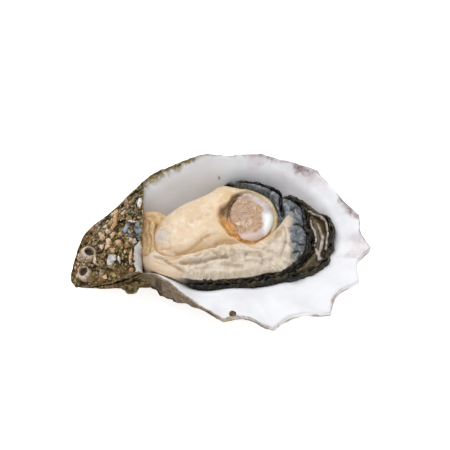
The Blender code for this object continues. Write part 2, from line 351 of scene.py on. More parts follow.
class Clay:
    """The newest primitive, whose vertices are then pushed about in millimetres."""

    def __init__(self, name: str) -> None:
        """Takes the active object over."""
        self.thing = bpy.context.active_object
        self.thing.name = self.thing.data.name = name

    @classmethod
    def of(cls, thing: bpy.types.Object) -> Clay:
        """Returns a finished piece as clay again."""
        bpy.context.view_layer.objects.active = thing
        return cls(thing.name)

    @classmethod
    def ball(cls, name: str, spokes: int, rings: int) -> Clay:
        """Models a unit ball.

        Args:
            name: the piece's name.
            spokes: how many vertices it has round its equator.
            rings: how many it has from pole to pole.

        Returns:
            The ball.
        """
        deselect()
        bpy.ops.mesh.primitive_uv_sphere_add(segments=spokes // 4, ring_count=rings // 4, radius=1.0)
        clay = cls(name)
        clay.open()
        bpy.ops.mesh.subdivide(number_cuts=3)
        deselect()
        return clay

    @classmethod
    def slab(cls, name: str, along: int, across: int, sides: int = 1) -> Clay:
        """Models a unit slab, from 0 to 1 each way.

        Args:
            name: the piece's name.
            along: how many faces long it is.
            across: how many faces wide it is.
            sides: how many faces high it is.

        Returns:
            The slab.
        """
        deselect()
        bpy.ops.mesh.primitive_grid_add(
            x_subdivisions=along, y_subdivisions=across, size=1.0, location=(0.5, 0.5, 0.0)
        )
        bpy.ops.object.transform_apply(location=True)
        clay = cls(name)
        clay.open()
        for _ in range(sides):
            bpy.ops.mesh.extrude_region_move(TRANSFORM_OT_translate={"value": (0.0, 0.0, 1.0 / sides)})
        deselect()
        return clay

    def open(self) -> None:
        """Opens the mesh for editing, all of it selected."""
        deselect()
        bpy.context.view_layer.objects.active = self.thing
        bpy.ops.object.mode_set(mode="EDIT")
        bpy.ops.mesh.select_all(action="SELECT")

    def read(self, kind: str = "vertices", label: str = "co") -> Array:
        """Reads a value of three numbers for each vertex.

        Args:
            kind: where the mesh keeps it.
            label: its name there.

        Returns:
            The values as rows; without arguments, the vertices' own coordinates.
        """
        flat = np.empty(len(self.thing.data.vertices) * 3, np.float32)
        getattr(self.thing.data, kind).foreach_get(label, flat)
        return flat.reshape(-1, 3).astype(float)

    def globe(self) -> tuple[Array, Array, Array]:
        """Reads a ball.

        Returns:
            For each vertex, how far it is from the poles towards the equator, from 0 to 1, its
            bearing, and its side: 1 above the equator, -1 below and 0 on it.
        """
        ball = self.read()
        ball /= np.linalg.norm(ball, axis=1)[:, None]
        latitude = np.arcsin(np.clip(ball[:, 2], -1.0, 1.0))
        side = np.where(np.abs(ball[:, 2]) < 1e-4, 0.0, np.sign(ball[:, 2]))
        return 1.0 - np.abs(latitude) / (math.pi / 2), np.degrees(np.arctan2(ball[:, 1], ball[:, 0])), side

    def write(self, points: Array) -> None:
        """Moves the vertices to places in millimetres about the cup's centre."""
        self.thing.data.vertices.foreach_set("co", np.float32((points + CENTRE_SHIFT) * MM).ravel())
        self.thing.data.update()

    def places(self) -> Array:
        """Returns the vertices in millimetres about the cup's centre."""
        return self.read() / MM - CENTRE_SHIFT

    def normals(self) -> Array:
        """Returns the vertices' normals, as rows of three."""
        return self.read("vertex_normals", "vector")

    def swell(self, amounts: Array) -> None:
        """Pushes each vertex along its normal by an amount in millimetres."""
        self.write(self.places() + self.normals() * amounts[:, None])

    def mark(self, name: str, values: Array) -> None:
        """Keeps a value for each vertex, which the materials read by name."""
        layer = self.thing.data.attributes.new(name, "FLOAT", "POINT")
        layer.data.foreach_set("value", values.astype(np.float32))

    def trim(self, kept: int) -> None:
        """Deletes every vertex past the first few.

        Args:
            kept: how many stay.
        """
        self.open()
        bpy.ops.mesh.select_all(action="DESELECT")
        bpy.ops.object.mode_set(mode="OBJECT")
        for vertex in self.thing.data.vertices:
            vertex.select = vertex.index >= kept
        bpy.ops.object.mode_set(mode="EDIT")
        bpy.ops.mesh.delete(type="VERT")
        deselect()

    def outward(self) -> None:
        """Turns every face outwards."""
        self.open()
        bpy.ops.mesh.normals_make_consistent(inside=False)
        deselect()

    def settle(self, plan: Array, over: Array, under: Array) -> None:
        """Lays a slab over the plan.

        Args:
            plan: its places.
            over: the heights of its upper side.
            under: the heights of its lower side.
        """
        self.write(raised(plan, np.where(self.read()[:, 2] > 0.5, over, under)))
        self.outward()

    def dress(self, finish: Finish, slot: str, *nodes: str) -> Piece:
        """Finishes the piece.

        Args:
            finish: what it is made of.
            slot: a material slot's name; not used.
            nodes: the solids that it stands for.

        Returns:
            The piece, smooth and riding on the body.
        """
        self.thing.data.shade_smooth()
        self.thing.data.materials.clear()
        self.thing.data.materials.append(finish.material())
        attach(self.thing, BODY)
        if nodes:
            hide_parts(*nodes)
        return self.thing


# ------------------------------------------------------------------ material wiring
class Graph:
    """Short hand for wiring nodes in a tree."""

    def __init__(self, tree: Tree) -> None:
        """Starts on a tree."""
        self.tree = tree

    def node(self, kind: str, inputs: dict | None = None, **settings: object) -> Node:
        """Adds a node.

        Args:
            kind: the node's type name.
            inputs: what its inputs are fed, by name or number.
            settings: properties by name.

        Returns:
            The node.
        """
        made = self.tree.nodes.new(kind)
        for key, value in settings.items():
            setattr(made, key, value)
        self.fill(made, inputs or {})
        return made

    def fill(self, node: Node, inputs: dict) -> None:
        """Feeds a node's inputs, by name or number."""
        for key, value in inputs.items():
            self.feed(node.inputs[key], value)

    def feed(self, socket: Socket, value: object) -> None:
        """Links a socket, or sets it.

        Args:
            socket: an input.
            value: a socket, a number or a colour.
        """
        if isinstance(value, bpy.types.NodeSocket):
            self.tree.links.new(value, socket)
        elif isinstance(value, tuple) and socket.type == "RGBA":
            socket.default_value = (*value, 1.0)
        else:
            socket.default_value = value

    def mask(self, name: str, share: float = 1.0) -> Socket:
        """Returns the value that the mesh keeps under a name, or a share of it."""
        found = self.node("ShaderNodeAttribute", attribute_name=name).outputs["Fac"]
        return found if share == 1.0 else self.sum("MULTIPLY", found, share)

    def place(self) -> Socket:
        """Returns Object coordinates."""
        return self.node("ShaderNodeTexCoord").outputs["Object"]

    def noise(self, size: float, detail: float = 3.0, warp: float = 0.0) -> Socket:
        """Returns noise about 0.5: its grain in mm, how many finer grains, how much it is bent."""
        inputs = {"Vector": self.place(), "Scale": 1.0 / (size * MM), "Detail": detail, "Distortion": warp}
        return self.node("ShaderNodeTexNoise", inputs).outputs["Fac"]

    def ramp(self, value: Socket, *stops: tuple[float, Colour | float]) -> Socket:
        """Adds a colour ramp.

        Args:
            value: what it reads.
            stops: places and colours, or grey values.

        Returns:
            The colour.
        """
        made = self.node("ShaderNodeValToRGB", {"Fac": value})
        band = made.color_ramp
        while len(band.elements) < len(stops):
            band.elements.new(0.5)
        for element, (place, colour) in zip(band.elements, stops):
            element.position = place
            element.color = (*colour, 1.0) if isinstance(colour, tuple) else (colour,) * 3 + (1.0,)
        return made.outputs["Color"]

    def mix(self, share: object, first: object, second: object, how: str = "MIX") -> Socket:
        """Mixes two colours.

        Args:
            share: how much of the second.
            first: a colour.
            second: a colour.
            how: the blend type.

        Returns:
            The mixed colour.
        """
        inputs = {"Factor": share, 6: first, 7: second}
        return self.node("ShaderNodeMix", inputs, data_type="RGBA", blend_type=how).outputs[2]

    def cover(self, under: object, **layers: object) -> Socket:
        """Lays colours over one another.

        Args:
            under: the colour at the bottom.
            layers: the colours on it, by the mask that says where each lies.

        Returns:
            The colour seen from above.
        """
        for name, colour in layers.items():
            under = self.mix(self.mask(name), under, colour)
        return under

    def sum(self, how: str, first: object, second: object) -> Socket:
        """Returns a math node's value, kept from 0 to 1."""
        return self.node("ShaderNodeMath", {0: first, 1: second}, operation=how, use_clamp=True).outputs[0]

    def bumps(self, height: Socket, depth: float) -> Socket:
        """Returns the normal of a relief whose depth is in millimetres."""
        inputs = {"Strength": 1.0, "Distance": depth * MM, "Height": height}
        return self.node("ShaderNodeBump", inputs).outputs["Normal"]


def shared(
    name: str, inputs: dict[str, object], outputs: dict[str, str]
) -> tuple[Graph, Node, Node, bool]:
    """Opens a shader node group, and says whether it still has to be wired.

    Args:
        name: the group's name.
        inputs: its inputs and their starting values, a number or a colour.
        outputs: its outputs and their socket types.

    Returns:
        Its graph, its input node, its output node, and whether it is new.
    """
    found = bpy.data.node_groups.get(name)
    if found:
        return Graph(found), found.nodes["Group Input"], found.nodes["Group Output"], False
    tree = bpy.data.node_groups.new(name, "ShaderNodeTree")
    for label, value in inputs.items():
        kind = "NodeSocketColor" if isinstance(value, tuple) else "NodeSocketFloat"
        socket = tree.interface.new_socket(label, in_out="INPUT", socket_type=kind)
        socket.default_value = (*value, 1.0) if isinstance(value, tuple) else value
    for label, kind in outputs.items():
        tree.interface.new_socket(label, in_out="OUTPUT", socket_type=kind)
    graph = Graph(tree)
    return graph, graph.node("NodeGroupInput"), graph.node("NodeGroupOutput"), True


def use_group(graph: Graph, tree: Tree, **values: object) -> Node:
    """Puts a group in a graph, feeds its inputs by name and returns its node."""
    return graph.node("ShaderNodeGroup", values, node_tree=tree)


def grained(graph: Graph, size: Socket, detail: float) -> Socket:
    """Adds noise whose grain comes from a socket.

    Args:
        graph: the nodes of the material.
        size: the size of the grain, in millimetres.
        detail: how many finer layers it has.

    Returns:
        The noise.
    """
    scale = graph.node("ShaderNodeMath", {0: 1.0 / MM, 1: size}, operation="DIVIDE")
    inputs = {"Vector": graph.place(), "Scale": scale.outputs[0], "Detail": detail}
    return graph.node("ShaderNodeTexNoise", inputs).outputs["Fac"]


def wet_film() -> Tree:
    """Makes the wet film on flesh.

    Returns:
        The group, which puts out its gloss and its fine relief.
    """
    starts = {"Grain": 1.0, "Depth": 0.05, "Least": 0.2, "Most": 0.4}
    ends = {"Roughness": "NodeSocketFloat", "Normal": "NodeSocketVector"}
    graph, given, result, fresh = shared("wet_film", starts, ends)
    if fresh:
        least, most = given.outputs["Least"], given.outputs["Most"]
        inputs = {"From Min": 0.35, "From Max": 0.65, "To Min": least, "To Max": most}
        spread = graph.node("ShaderNodeMapRange", {"Value": graph.noise(2.4, 3.0), **inputs})
        depth = graph.node("ShaderNodeMath", {0: given.outputs["Depth"], 1: MM}, operation="MULTIPLY")
        height = grained(graph, given.outputs["Grain"], 3.0)
        relief = graph.node("ShaderNodeBump", {"Distance": depth.outputs[0], "Height": height})
        graph.fill(result, {"Roughness": spread.outputs["Result"], "Normal": relief.outputs["Normal"]})
    return graph.tree


def mottle() -> Tree:
    """Makes the blend of two colours in cloudy patches.

    Returns:
        The group, which puts out the blended colour.
    """
    starts = {"Size": 3.0, "First": (0.5, 0.5, 0.5), "Second": (0.2, 0.2, 0.2), "Share": 0.5}
    graph, given, result, fresh = shared("mottle", starts, {"Colour": "NodeSocketColor"})
    if fresh:
        inputs = {"Value": grained(graph, given.outputs["Size"], 4.0), "From Min": 0.36, "From Max": 0.64}
        patch = graph.node("ShaderNodeMapRange", inputs).outputs["Result"]
        share = graph.sum("MULTIPLY", patch, graph.sum("MULTIPLY", given.outputs["Share"], 2.0))
        blend = graph.mix(share, given.outputs["First"], given.outputs["Second"])
        graph.fill(result, {"Colour": blend})
    return graph.tree


def mottled(graph: Graph, size: float, first: Colour, second: Colour, share: float = 0.5) -> Socket:
    """Returns two colours blended in cloudy patches of a size in millimetres."""
    return use_group(graph, mottle(), Size=size, First=first, Second=second, Share=share).outputs[0]


def stain() -> Tree:
    """Makes a patchy stain.

    Returns:
        The group, which puts out a colour with the stain over it where a mask says.
    """
    colours = {"Under": (0.8, 0.8, 0.8), "Dye": (0.3, 0.2, 0.1), "Pale": (0.5, 0.4, 0.3)}
    starts = {**colours, "Mask": 0.0, "Size": 1.2}
    graph, given, result, fresh = shared("stain", starts, {"Colour": "NodeSocketColor"})
    if fresh:
        cloud = graph.ramp(grained(graph, given.outputs["Size"], 4.0), (0.35, 0.0), (0.65, 1.0))
        dye = graph.mix(cloud, given.outputs["Dye"], given.outputs["Pale"])
        patchy = graph.ramp(graph.noise(1.9, 4.0, 0.6), (0.28, 0.3), (0.55, 1.0))
        share = graph.sum("MULTIPLY", given.outputs["Mask"], patchy)
        graph.fill(result, {"Colour": graph.mix(share, given.outputs["Under"], dye)})
    return graph.tree


class Skin(Enum):
    """Kinds of wet skin: grain and depth of the relief in mm, least and most roughness, and coat."""

    SMOOTH = (1.5, 0.05, 0.30, 0.48, 0.25)
    CREASED = (0.9, 0.10, 0.26, 0.45, 0.25)
    CLEAR = (1.2, 0.04, 0.24, 0.42, 0.25)
    ROUGH = (0.7, 0.14, 0.22, 0.40, 0.0)

    def inputs(self, graph: Graph) -> dict:
        """Wires the film on this skin.

        Args:
            graph: where it is wired.

        Returns:
            What the shader's inputs are fed, by name.
        """
        size, depth, least, most, coat = self.value
        film = use_group(graph, wet_film(), Grain=size, Depth=depth, Least=least, Most=most)
        wet = {name: film.outputs[name] for name in ("Roughness", "Normal")}
        return {**wet, "Coat Weight": coat, "Coat Roughness": 0.15, "IOR": 1.38}


class Finish:
    """A finish, whose material is made once and then shared."""

    name: str

    def material(self) -> bpy.types.Material:
        """Makes the material at its first use.

        Returns:
            The material.
        """
        found = bpy.data.materials.get(self.name)
        if found is None:
            found = bpy.data.materials.new(self.name)
            found.use_nodes = True
            graph = Graph(found.node_tree)
            graph.fill(graph.tree.nodes["Principled BSDF"], self.inputs(graph))
        return found

    def inputs(self, graph: Graph) -> dict:
        """Returns what the shader's inputs are fed, by name; each finish has its own way."""
        raise NotImplementedError


@dataclass(frozen=True)
class Flesh(Finish):
    """A wet finish, each kind with its own colours."""

    skin: Skin = Skin.CREASED
    soft: float = 0.0  # how much light spreads under the skin
    spread: float = 1.0  # how far it spreads, in mm

    def inputs(self, graph: Graph) -> dict:
        """Wires the skin and what is under it.

        Args:
            graph: where it is wired.

        Returns:
            What the shader's inputs are fed, by name.
        """
        inputs = {"Base Color": self.colour(graph), **self.skin.inputs(graph)}
        if self.soft:
            reach = {"Subsurface Radius": (1.0, 0.55, 0.35), "Subsurface Scale": self.spread * MM}
            inputs |= {"Subsurface Weight": self.soft, **reach}
        return inputs

    def colour(self, graph: Graph) -> Socket:
        """Returns the colour; each kind has its own."""
        raise NotImplementedError


@dataclass(frozen=True)
class White(Finish):
    """The studio's floor: matt white that glows a little."""

    name: str = "studio_white"
    glow: float = 0.7

    def inputs(self, graph: Graph) -> dict:
        """Returns what the shader's inputs are fed, by name."""
        matt = {"Base Color": (0.9, 0.9, 0.9), "Roughness": 0.9, "Specular IOR Level": 0.0}
        return {**matt, "Emission Color": (1.0, 1.0, 1.0), "Emission Strength": self.glow}


@dataclass(frozen=True)
class Nacre(Finish):
    """White pearl inside, a stained lip, and layered bark outside, with painted shade on the back wall near
    the flesh and on the outside band by the hinge.
    """

    name: str = "nacre"
    white: Colour = (0.86, 0.868, 0.895)
    shade: Colour = (0.80, 0.80, 0.83)
    # mask, the dye where it is strong and where it is weak, size of its clouds in mm
    dyes: tuple[tuple[str, Colour, Colour, float], ...] = (
        ("blush", (0.62, 0.54, 0.56), (0.78, 0.72, 0.74), 3.0),
        ("plum", (0.17, 0.115, 0.13), (0.46, 0.36, 0.37), 1.0),
        ("brown", (0.15, 0.095, 0.045), (0.44, 0.31, 0.20), 0.9),
        ("olive", (0.20, 0.155, 0.06), (0.50, 0.43, 0.27), 1.1),
    )

    def inputs(self, graph: Graph) -> dict:
        """Wires the finish.

        Args:
            graph: where it is wired.

        Returns:
            What the shader's inputs are fed, by name.
        """
        # The deep mask is painted shade: it greys the back wall where the flesh shades it.
        skin = graph.cover(mottled(graph, 9.0, self.white, self.shade), deep=(0.50, 0.505, 0.54))
        for name, dye, pale, size in self.dyes:
            inputs = {"Under": skin, "Dye": dye, "Pale": pale, "Mask": graph.mask(name), "Size": size}
            skin = use_group(graph, stain(), **inputs).outputs[0]
        # Painted shade: the bark is darkened under the shade mask, on the outside band by the hinge.
        bark = graph.mix(graph.mask("shade"), self._bark(graph), (0.42, 0.29, 0.15), "MULTIPLY")
        wild = use_group(graph, wild_growth(), Warm=0.5).outputs[0]
        # Growth is darkened where the shell faces out and under the shade mask: painted shade by the hinge,
        # a darker growth tone along the back-left lip.
        under = graph.sum("MAXIMUM", graph.mask("outside"), graph.mask("shade"))
        wild = graph.mix(under, wild, (0.29, 0.25, 0.18), "MULTIPLY")
        skin = graph.cover(skin, outside=bark, growth=wild, speck=(0.05, 0.04, 0.035))
        coarse = graph.sum("MAXIMUM", graph.mask("outside"), graph.mask("growth"))
        coarse = graph.sum("MAXIMUM", coarse, graph.mask("olive"))
        relief = graph.mix(coarse, graph.noise(5.0, 1.0), graph.noise(0.8, 4.0))
        gloss = graph.ramp(coarse, (0.0, 0.33), (1.0, 0.85))
        normal = graph.bumps(relief, 0.22)
        return {"Base Color": skin, "Roughness": gloss, "Specular IOR Level": 0.3, "Normal": normal}

    def _bark(self, graph: Graph) -> Socket:
        """Wires the layered outside.

        Args:
            graph: where it is wired.

        Returns:
            The colour.
        """
        layer = graph.node("ShaderNodeMath", {0: graph.mask("layer")}, operation="FRACT")
        bark = graph.ramp(
            layer.outputs[0],
            (0.0, (0.022, 0.014, 0.007)), (0.22, (0.10, 0.062, 0.024)), (0.40, (0.33, 0.23, 0.12)),
            (0.52, (0.05, 0.032, 0.012)), (0.70, (0.40, 0.33, 0.23)), (0.86, (0.14, 0.10, 0.04)),
            (1.0, (0.022, 0.014, 0.007)),
        )
        clouds = graph.ramp(
            graph.noise(2.6, 5.0, 0.6),
            (0.34, (0.03, 0.02, 0.008)), (0.5, (0.15, 0.105, 0.045)), (0.66, (0.42, 0.34, 0.24)),
        )
        return graph.mix(graph.ramp(graph.noise(4.0, 3.0), (0.4, 0.1), (0.6, 0.6)), bark, clouds)


def wild_growth() -> Tree:
    """Makes the fine growth on the crust and the beak: olive, brown, tan and dark.

    Returns:
        The group, which puts out the growth's colour.
    """
    graph, given, result, fresh = shared("wild_growth", {"Warm": 0.5}, {"Colour": "NodeSocketColor"})
    if fresh:
        fine = graph.ramp(
            graph.noise(1.2, 4.0, 0.6),
            (0.37, (0.008, 0.005, 0.002)), (0.43, (0.070, 0.045, 0.012)), (0.48, (0.28, 0.185, 0.028)),
            (0.54, (0.60, 0.42, 0.11)), (0.60, (0.95, 0.80, 0.44)),
        )
        patch = graph.ramp(graph.noise(3.4, 2.0), (0.42, 0.0), (0.6, 1.0))
        warm = graph.mix(graph.sum("MULTIPLY", patch, given.outputs["Warm"]), fine, (0.28, 0.135, 0.07))
        green = graph.ramp(graph.noise(2.3, 3.0, 0.5), (0.56, 0.0), (0.70, 0.6))
        graph.fill(result, {"Colour": graph.mix(green, warm, (0.115, 0.125, 0.014))})
    return graph.tree


@dataclass(frozen=True)
class Cream(Flesh):
    """The body's flesh: cream and peach, with a clear grey patch, ochre folds, orange by the muscle, and
    brown with painted shade in the hollow beside it.
    """

    name: str = "cream_flesh"
    light: Colour = (0.78, 0.62, 0.435)
    deep: Colour = (0.70, 0.525, 0.325)
    grey: Colour = (0.60, 0.53, 0.46)
    skin: Skin = Skin.SMOOTH
    soft: float = 0.3
    spread: float = 1.8

    def colour(self, graph: Graph) -> Socket:
        """Wires the flesh, from the cream up to the pale veins.

        Args:
            graph: where it is wired.

        Returns:
            The colour.
        """
        cloud = graph.ramp(graph.noise(1.6, 4.0, 0.5), (0.5, 0.0), (0.72, 0.45))
        flesh = graph.mix(cloud, mottled(graph, 5.0, self.light, self.deep), (0.80, 0.66, 0.50))
        flesh = graph.cover(flesh, ochre=(0.42, 0.25, 0.10))
        flesh = graph.mix(graph.mask("glow", 0.5), flesh, (0.76, 0.50, 0.24))
        flesh = graph.cover(
            flesh,
            crease=(0.52, 0.30, 0.12),
            lip=(0.50, 0.39, 0.21),
            patch=mottled(graph, 1.0, self.grey, (0.80, 0.76, 0.71)),
            orange=mottled(graph, 1.3, (0.68, 0.33, 0.07), (0.38, 0.17, 0.04)),
            # Brown flesh with painted shade, in the hollow where the body overhangs the muscle.
            recess=mottled(graph, 1.1, (0.12, 0.058, 0.015), (0.30, 0.162, 0.058)),
        )
        veins = graph.ramp(graph.noise(2.2, 5.0, 1.5), (0.54, 0.0), (0.66, 0.5))
        return graph.mix(graph.sum("MULTIPLY", veins, graph.mask("calm")), flesh, (0.84, 0.74, 0.66))


@dataclass(frozen=True)
class Dusky(Flesh):
    """The muscle: pink and tan, wrinkled, with a pale clear crescent."""

    name: str = "dusky_flesh"
    tan: Colour = (0.56, 0.375, 0.225)
    pink: Colour = (0.53, 0.37, 0.27)
    deep: Colour = (0.42, 0.26, 0.17)
    clear: Colour = (0.62, 0.54, 0.52)
    skin: Skin = Skin.CLEAR
    soft: float = 0.3
    spread: float = 0.9

    def colour(self, graph: Graph) -> Socket:
        """Returns the colour, from the clear flesh up to the hollow beside it, brown with painted shade."""
        return graph.cover(
            mottled(graph, 2.0, self.clear, (0.52, 0.43, 0.41)),
            wrinkled=mottled(graph, 4.0, self.tan, self.pink),
            furrow=self.deep,
            ridge=(0.76, 0.64, 0.57),
            lobe=(0.66, 0.50, 0.44),
            crescent=(0.84, 0.83, 0.82),
            orange=mottled(graph, 1.3, (0.68, 0.31, 0.06), (0.38, 0.16, 0.035)),
            # Brown flesh with painted shade, in the hollow beside the muscle.
            recess=mottled(graph, 1.1, (0.12, 0.058, 0.015), (0.30, 0.162, 0.058)),
        )


@dataclass(frozen=True)
class Ochre(Flesh):
    """The palps: ochre and tan in long folds."""

    name: str = "ochre_flesh"
    light: Colour = (0.72, 0.52, 0.29)
    deep: Colour = (0.58, 0.38, 0.18)
    soft: float = 0.2

    def colour(self, graph: Graph) -> Socket:
        """Returns the colour, browner in the creases."""
        return graph.cover(mottled(graph, 1.8, self.light, self.deep), crease=(0.36, 0.21, 0.09))


@dataclass(frozen=True)
class Veil(Flesh):
    """The mantle: slate with pale streaks, turning to striped cream and to peach, with painted highlights
    on the cream's folds.
    """

    name: str = "veil_flesh"
    cream: Colour = (0.52, 0.42, 0.30)
    peach: Colour = (0.72, 0.55, 0.385)
    soft: float = 0.15

    def colour(self, graph: Graph) -> Socket:
        """Wires slate where the mask says, and cream elsewhere.

        Args:
            graph: where it is wired.

        Returns:
            The colour.
        """
        slate = graph.ramp(
            graph.noise(1.9, 4.0, 1.0),
            (0.28, (0.045, 0.050, 0.055)), (0.44, (0.115, 0.13, 0.145)), (0.56, (0.18, 0.20, 0.22)),
            (0.74, (0.36, 0.385, 0.395)),
        )
        slate = graph.mix(graph.mask("streak", 0.7), slate, (0.42, 0.43, 0.42))
        crease = graph.mix(graph.mask("slate"), (0.30, 0.20, 0.11), (0.015, 0.015, 0.014))
        return graph.cover(self._cream(graph), slate=slate, crease=crease, rim=(0.02, 0.017, 0.012))

    def _cream(self, graph: Graph) -> Socket:
        """Wires the cream part.

        Args:
            graph: where it is wired.

        Returns:
            The colour.
        """
        tinge = graph.ramp(graph.noise(3.8, 3.0, 0.8), (0.52, 0.0), (0.68, 0.5))
        cream = graph.mix(tinge, mottled(graph, 2.4, self.cream, (0.64, 0.55, 0.43)), (0.40, 0.34, 0.28))
        cream = graph.mix(graph.mask("stripe", 0.3), cream, (0.78, 0.71, 0.60))
        cream = graph.cover(cream, peach=self.peach)
        cream = graph.mix(graph.mask("warm", 0.6), cream, (0.74, 0.53, 0.31))
        # Painted highlight: pale on the tops of the cream folds.
        return graph.cover(cream, pale=(0.80, 0.69, 0.58))


@dataclass(frozen=True)
class Sable(Flesh):
    """The black ruffled edge, browner in places."""

    name: str = "sable_edge"
    skin: Skin = Skin.ROUGH

    def inputs(self, graph: Graph) -> dict:
        """Returns what the shader's inputs are fed, by name."""
        return {**super().inputs(graph), "Specular IOR Level": 0.45}

    def colour(self, graph: Graph) -> Socket:
        """Wires a cloudy brown over a cloudy black.

        Args:
            graph: where it is wired.

        Returns:
            The colour.
        """
        cloud = graph.noise(1.5, 3.0, 0.45)
        black = graph.ramp(
            cloud,
            (0.40, (0.003, 0.0028, 0.0026)), (0.55, (0.012, 0.011, 0.010)), (0.68, (0.045, 0.043, 0.040)),
            (0.82, (0.20, 0.195, 0.19)),
        )
        brown = graph.ramp(
            cloud,
            (0.40, (0.006, 0.0045, 0.0025)), (0.53, (0.036, 0.026, 0.010)), (0.66, (0.10, 0.070, 0.025)),
            (0.80, (0.23, 0.175, 0.10)),
        )
        return graph.cover(black, warm=brown)


@dataclass(frozen=True)
class Blush(Flesh):
    """The pale pink crest of a gill."""

    name: str = "blush_crest"
    root: Colour = (0.07, 0.05, 0.028)
    tip: Colour = (0.57, 0.485, 0.43)

    def colour(self, graph: Graph) -> Socket:
        """Returns the colour, dark at the root and pale at the tip."""
        return graph.cover(self.root, tip=mottled(graph, 1.6, self.tip, (0.20, 0.155, 0.11), 0.45))


@dataclass(frozen=True)
class Olive(Flesh):
    """The gills: olive brown, darker between the ridges."""

    name: str = "olive_gills"
    deep: Colour = (0.032, 0.024, 0.012)
    light: Colour = (0.125, 0.090, 0.038)
    skin: Skin = Skin.ROUGH

    def colour(self, graph: Graph) -> Socket:
        """Returns the colour, lighter on the crests."""
        clouds = mottled(graph, 1.8, (0.035, 0.025, 0.010), (0.14, 0.10, 0.044))
        return graph.mix(0.5, graph.cover(self.deep, crest=self.light), clouds)


@dataclass(frozen=True)
class Growth(Finish):
    """The crust: olive and brown growth, with pale, pink and tan pebbles, and painted shade in the gaps."""

    name: str = "wild_crust"

    def inputs(self, graph: Graph) -> dict:
        """Wires the finish.

        Args:
            graph: where it is wired.

        Returns:
            What the shader's inputs are fed, by name.
        """
        stone = graph.ramp(
            graph.mask("tint"),
            (0.0, (0.016, 0.010, 0.004)), (0.2, (0.075, 0.050, 0.012)), (0.4, (0.19, 0.135, 0.03)),
            (0.55, (0.27, 0.15, 0.06)), (0.7, (0.60, 0.37, 0.20)), (0.83, (0.79, 0.55, 0.38)),
            (0.93, (0.84, 0.69, 0.58)), (1.0, (0.88, 0.86, 0.86)),
        )
        wild = use_group(graph, wild_growth(), Warm=0.6).outputs[0]
        crust = graph.mix(graph.ramp(graph.noise(1.0, 3.0), (0.35, 0.25), (0.65, 0.75)), stone, wild)
        worn = graph.ramp(graph.noise(0.9, 3.0), (0.44, 0.05), (0.60, 0.95))
        crust = graph.mix(graph.sum("MULTIPLY", graph.mask("clean"), worn), crust, stone)
        cloud = graph.ramp(graph.noise(1.2, 3.0), (0.4, 0.0), (0.6, 1.0))
        crust = graph.cover(
            crust,
            # The gap mask is painted shade: near black between the lumps, in the hollow by the palps, at
            # the crust's foot and under the stones.
            gap=(0.010, 0.007, 0.003),
            green=(0.05, 0.16, 0.045),
            steel=graph.mix(cloud, (0.05, 0.07, 0.09), (0.33, 0.37, 0.41)),
            # Painted light: the strip of white shell on the face is brighter than the nacre, to make up for
            # the shade it lies in.
            pearl=(0.95, 0.95, 0.96),
        )
        gloss = graph.ramp(graph.noise(1.5, 2.0), (0.3, 0.38), (0.7, 0.75))
        normal = graph.bumps(graph.noise(0.55, 4.0), 0.35)
        return {"Base Color": crust, "Roughness": gloss, "Specular IOR Level": 0.25, "Normal": normal}


@dataclass(frozen=True)
class Lime(Finish):
    """A barnacle's plates: pinkish white, dirty in the grooves and dark in the mouth."""

    name: str = "lime_plates"
    pale: Colour = (0.72, 0.57, 0.47)
    dull: Colour = (0.46, 0.35, 0.25)

    def inputs(self, graph: Graph) -> dict:
        """Wires the finish.

        Args:
            graph: where it is wired.

        Returns:
            What the shader's inputs are fed, by name.
        """
        plates = graph.cover(mottled(graph, 1.4, self.pale, self.dull), groove=(0.16, 0.11, 0.05))
        dirt = {"Dye": (0.08, 0.06, 0.025), "Pale": (0.27, 0.20, 0.10), "Size": 0.9}
        soiled = use_group(graph, stain(), Under=plates, Mask=graph.mask("foot"), **dirt).outputs[0]
        colour = graph.cover(soiled, mouth=(0.035, 0.024, 0.013))
        relief = graph.bumps(graph.noise(0.4, 3.0), 0.2)
        return {"Base Color": colour, "Roughness": 0.55, "Normal": relief}


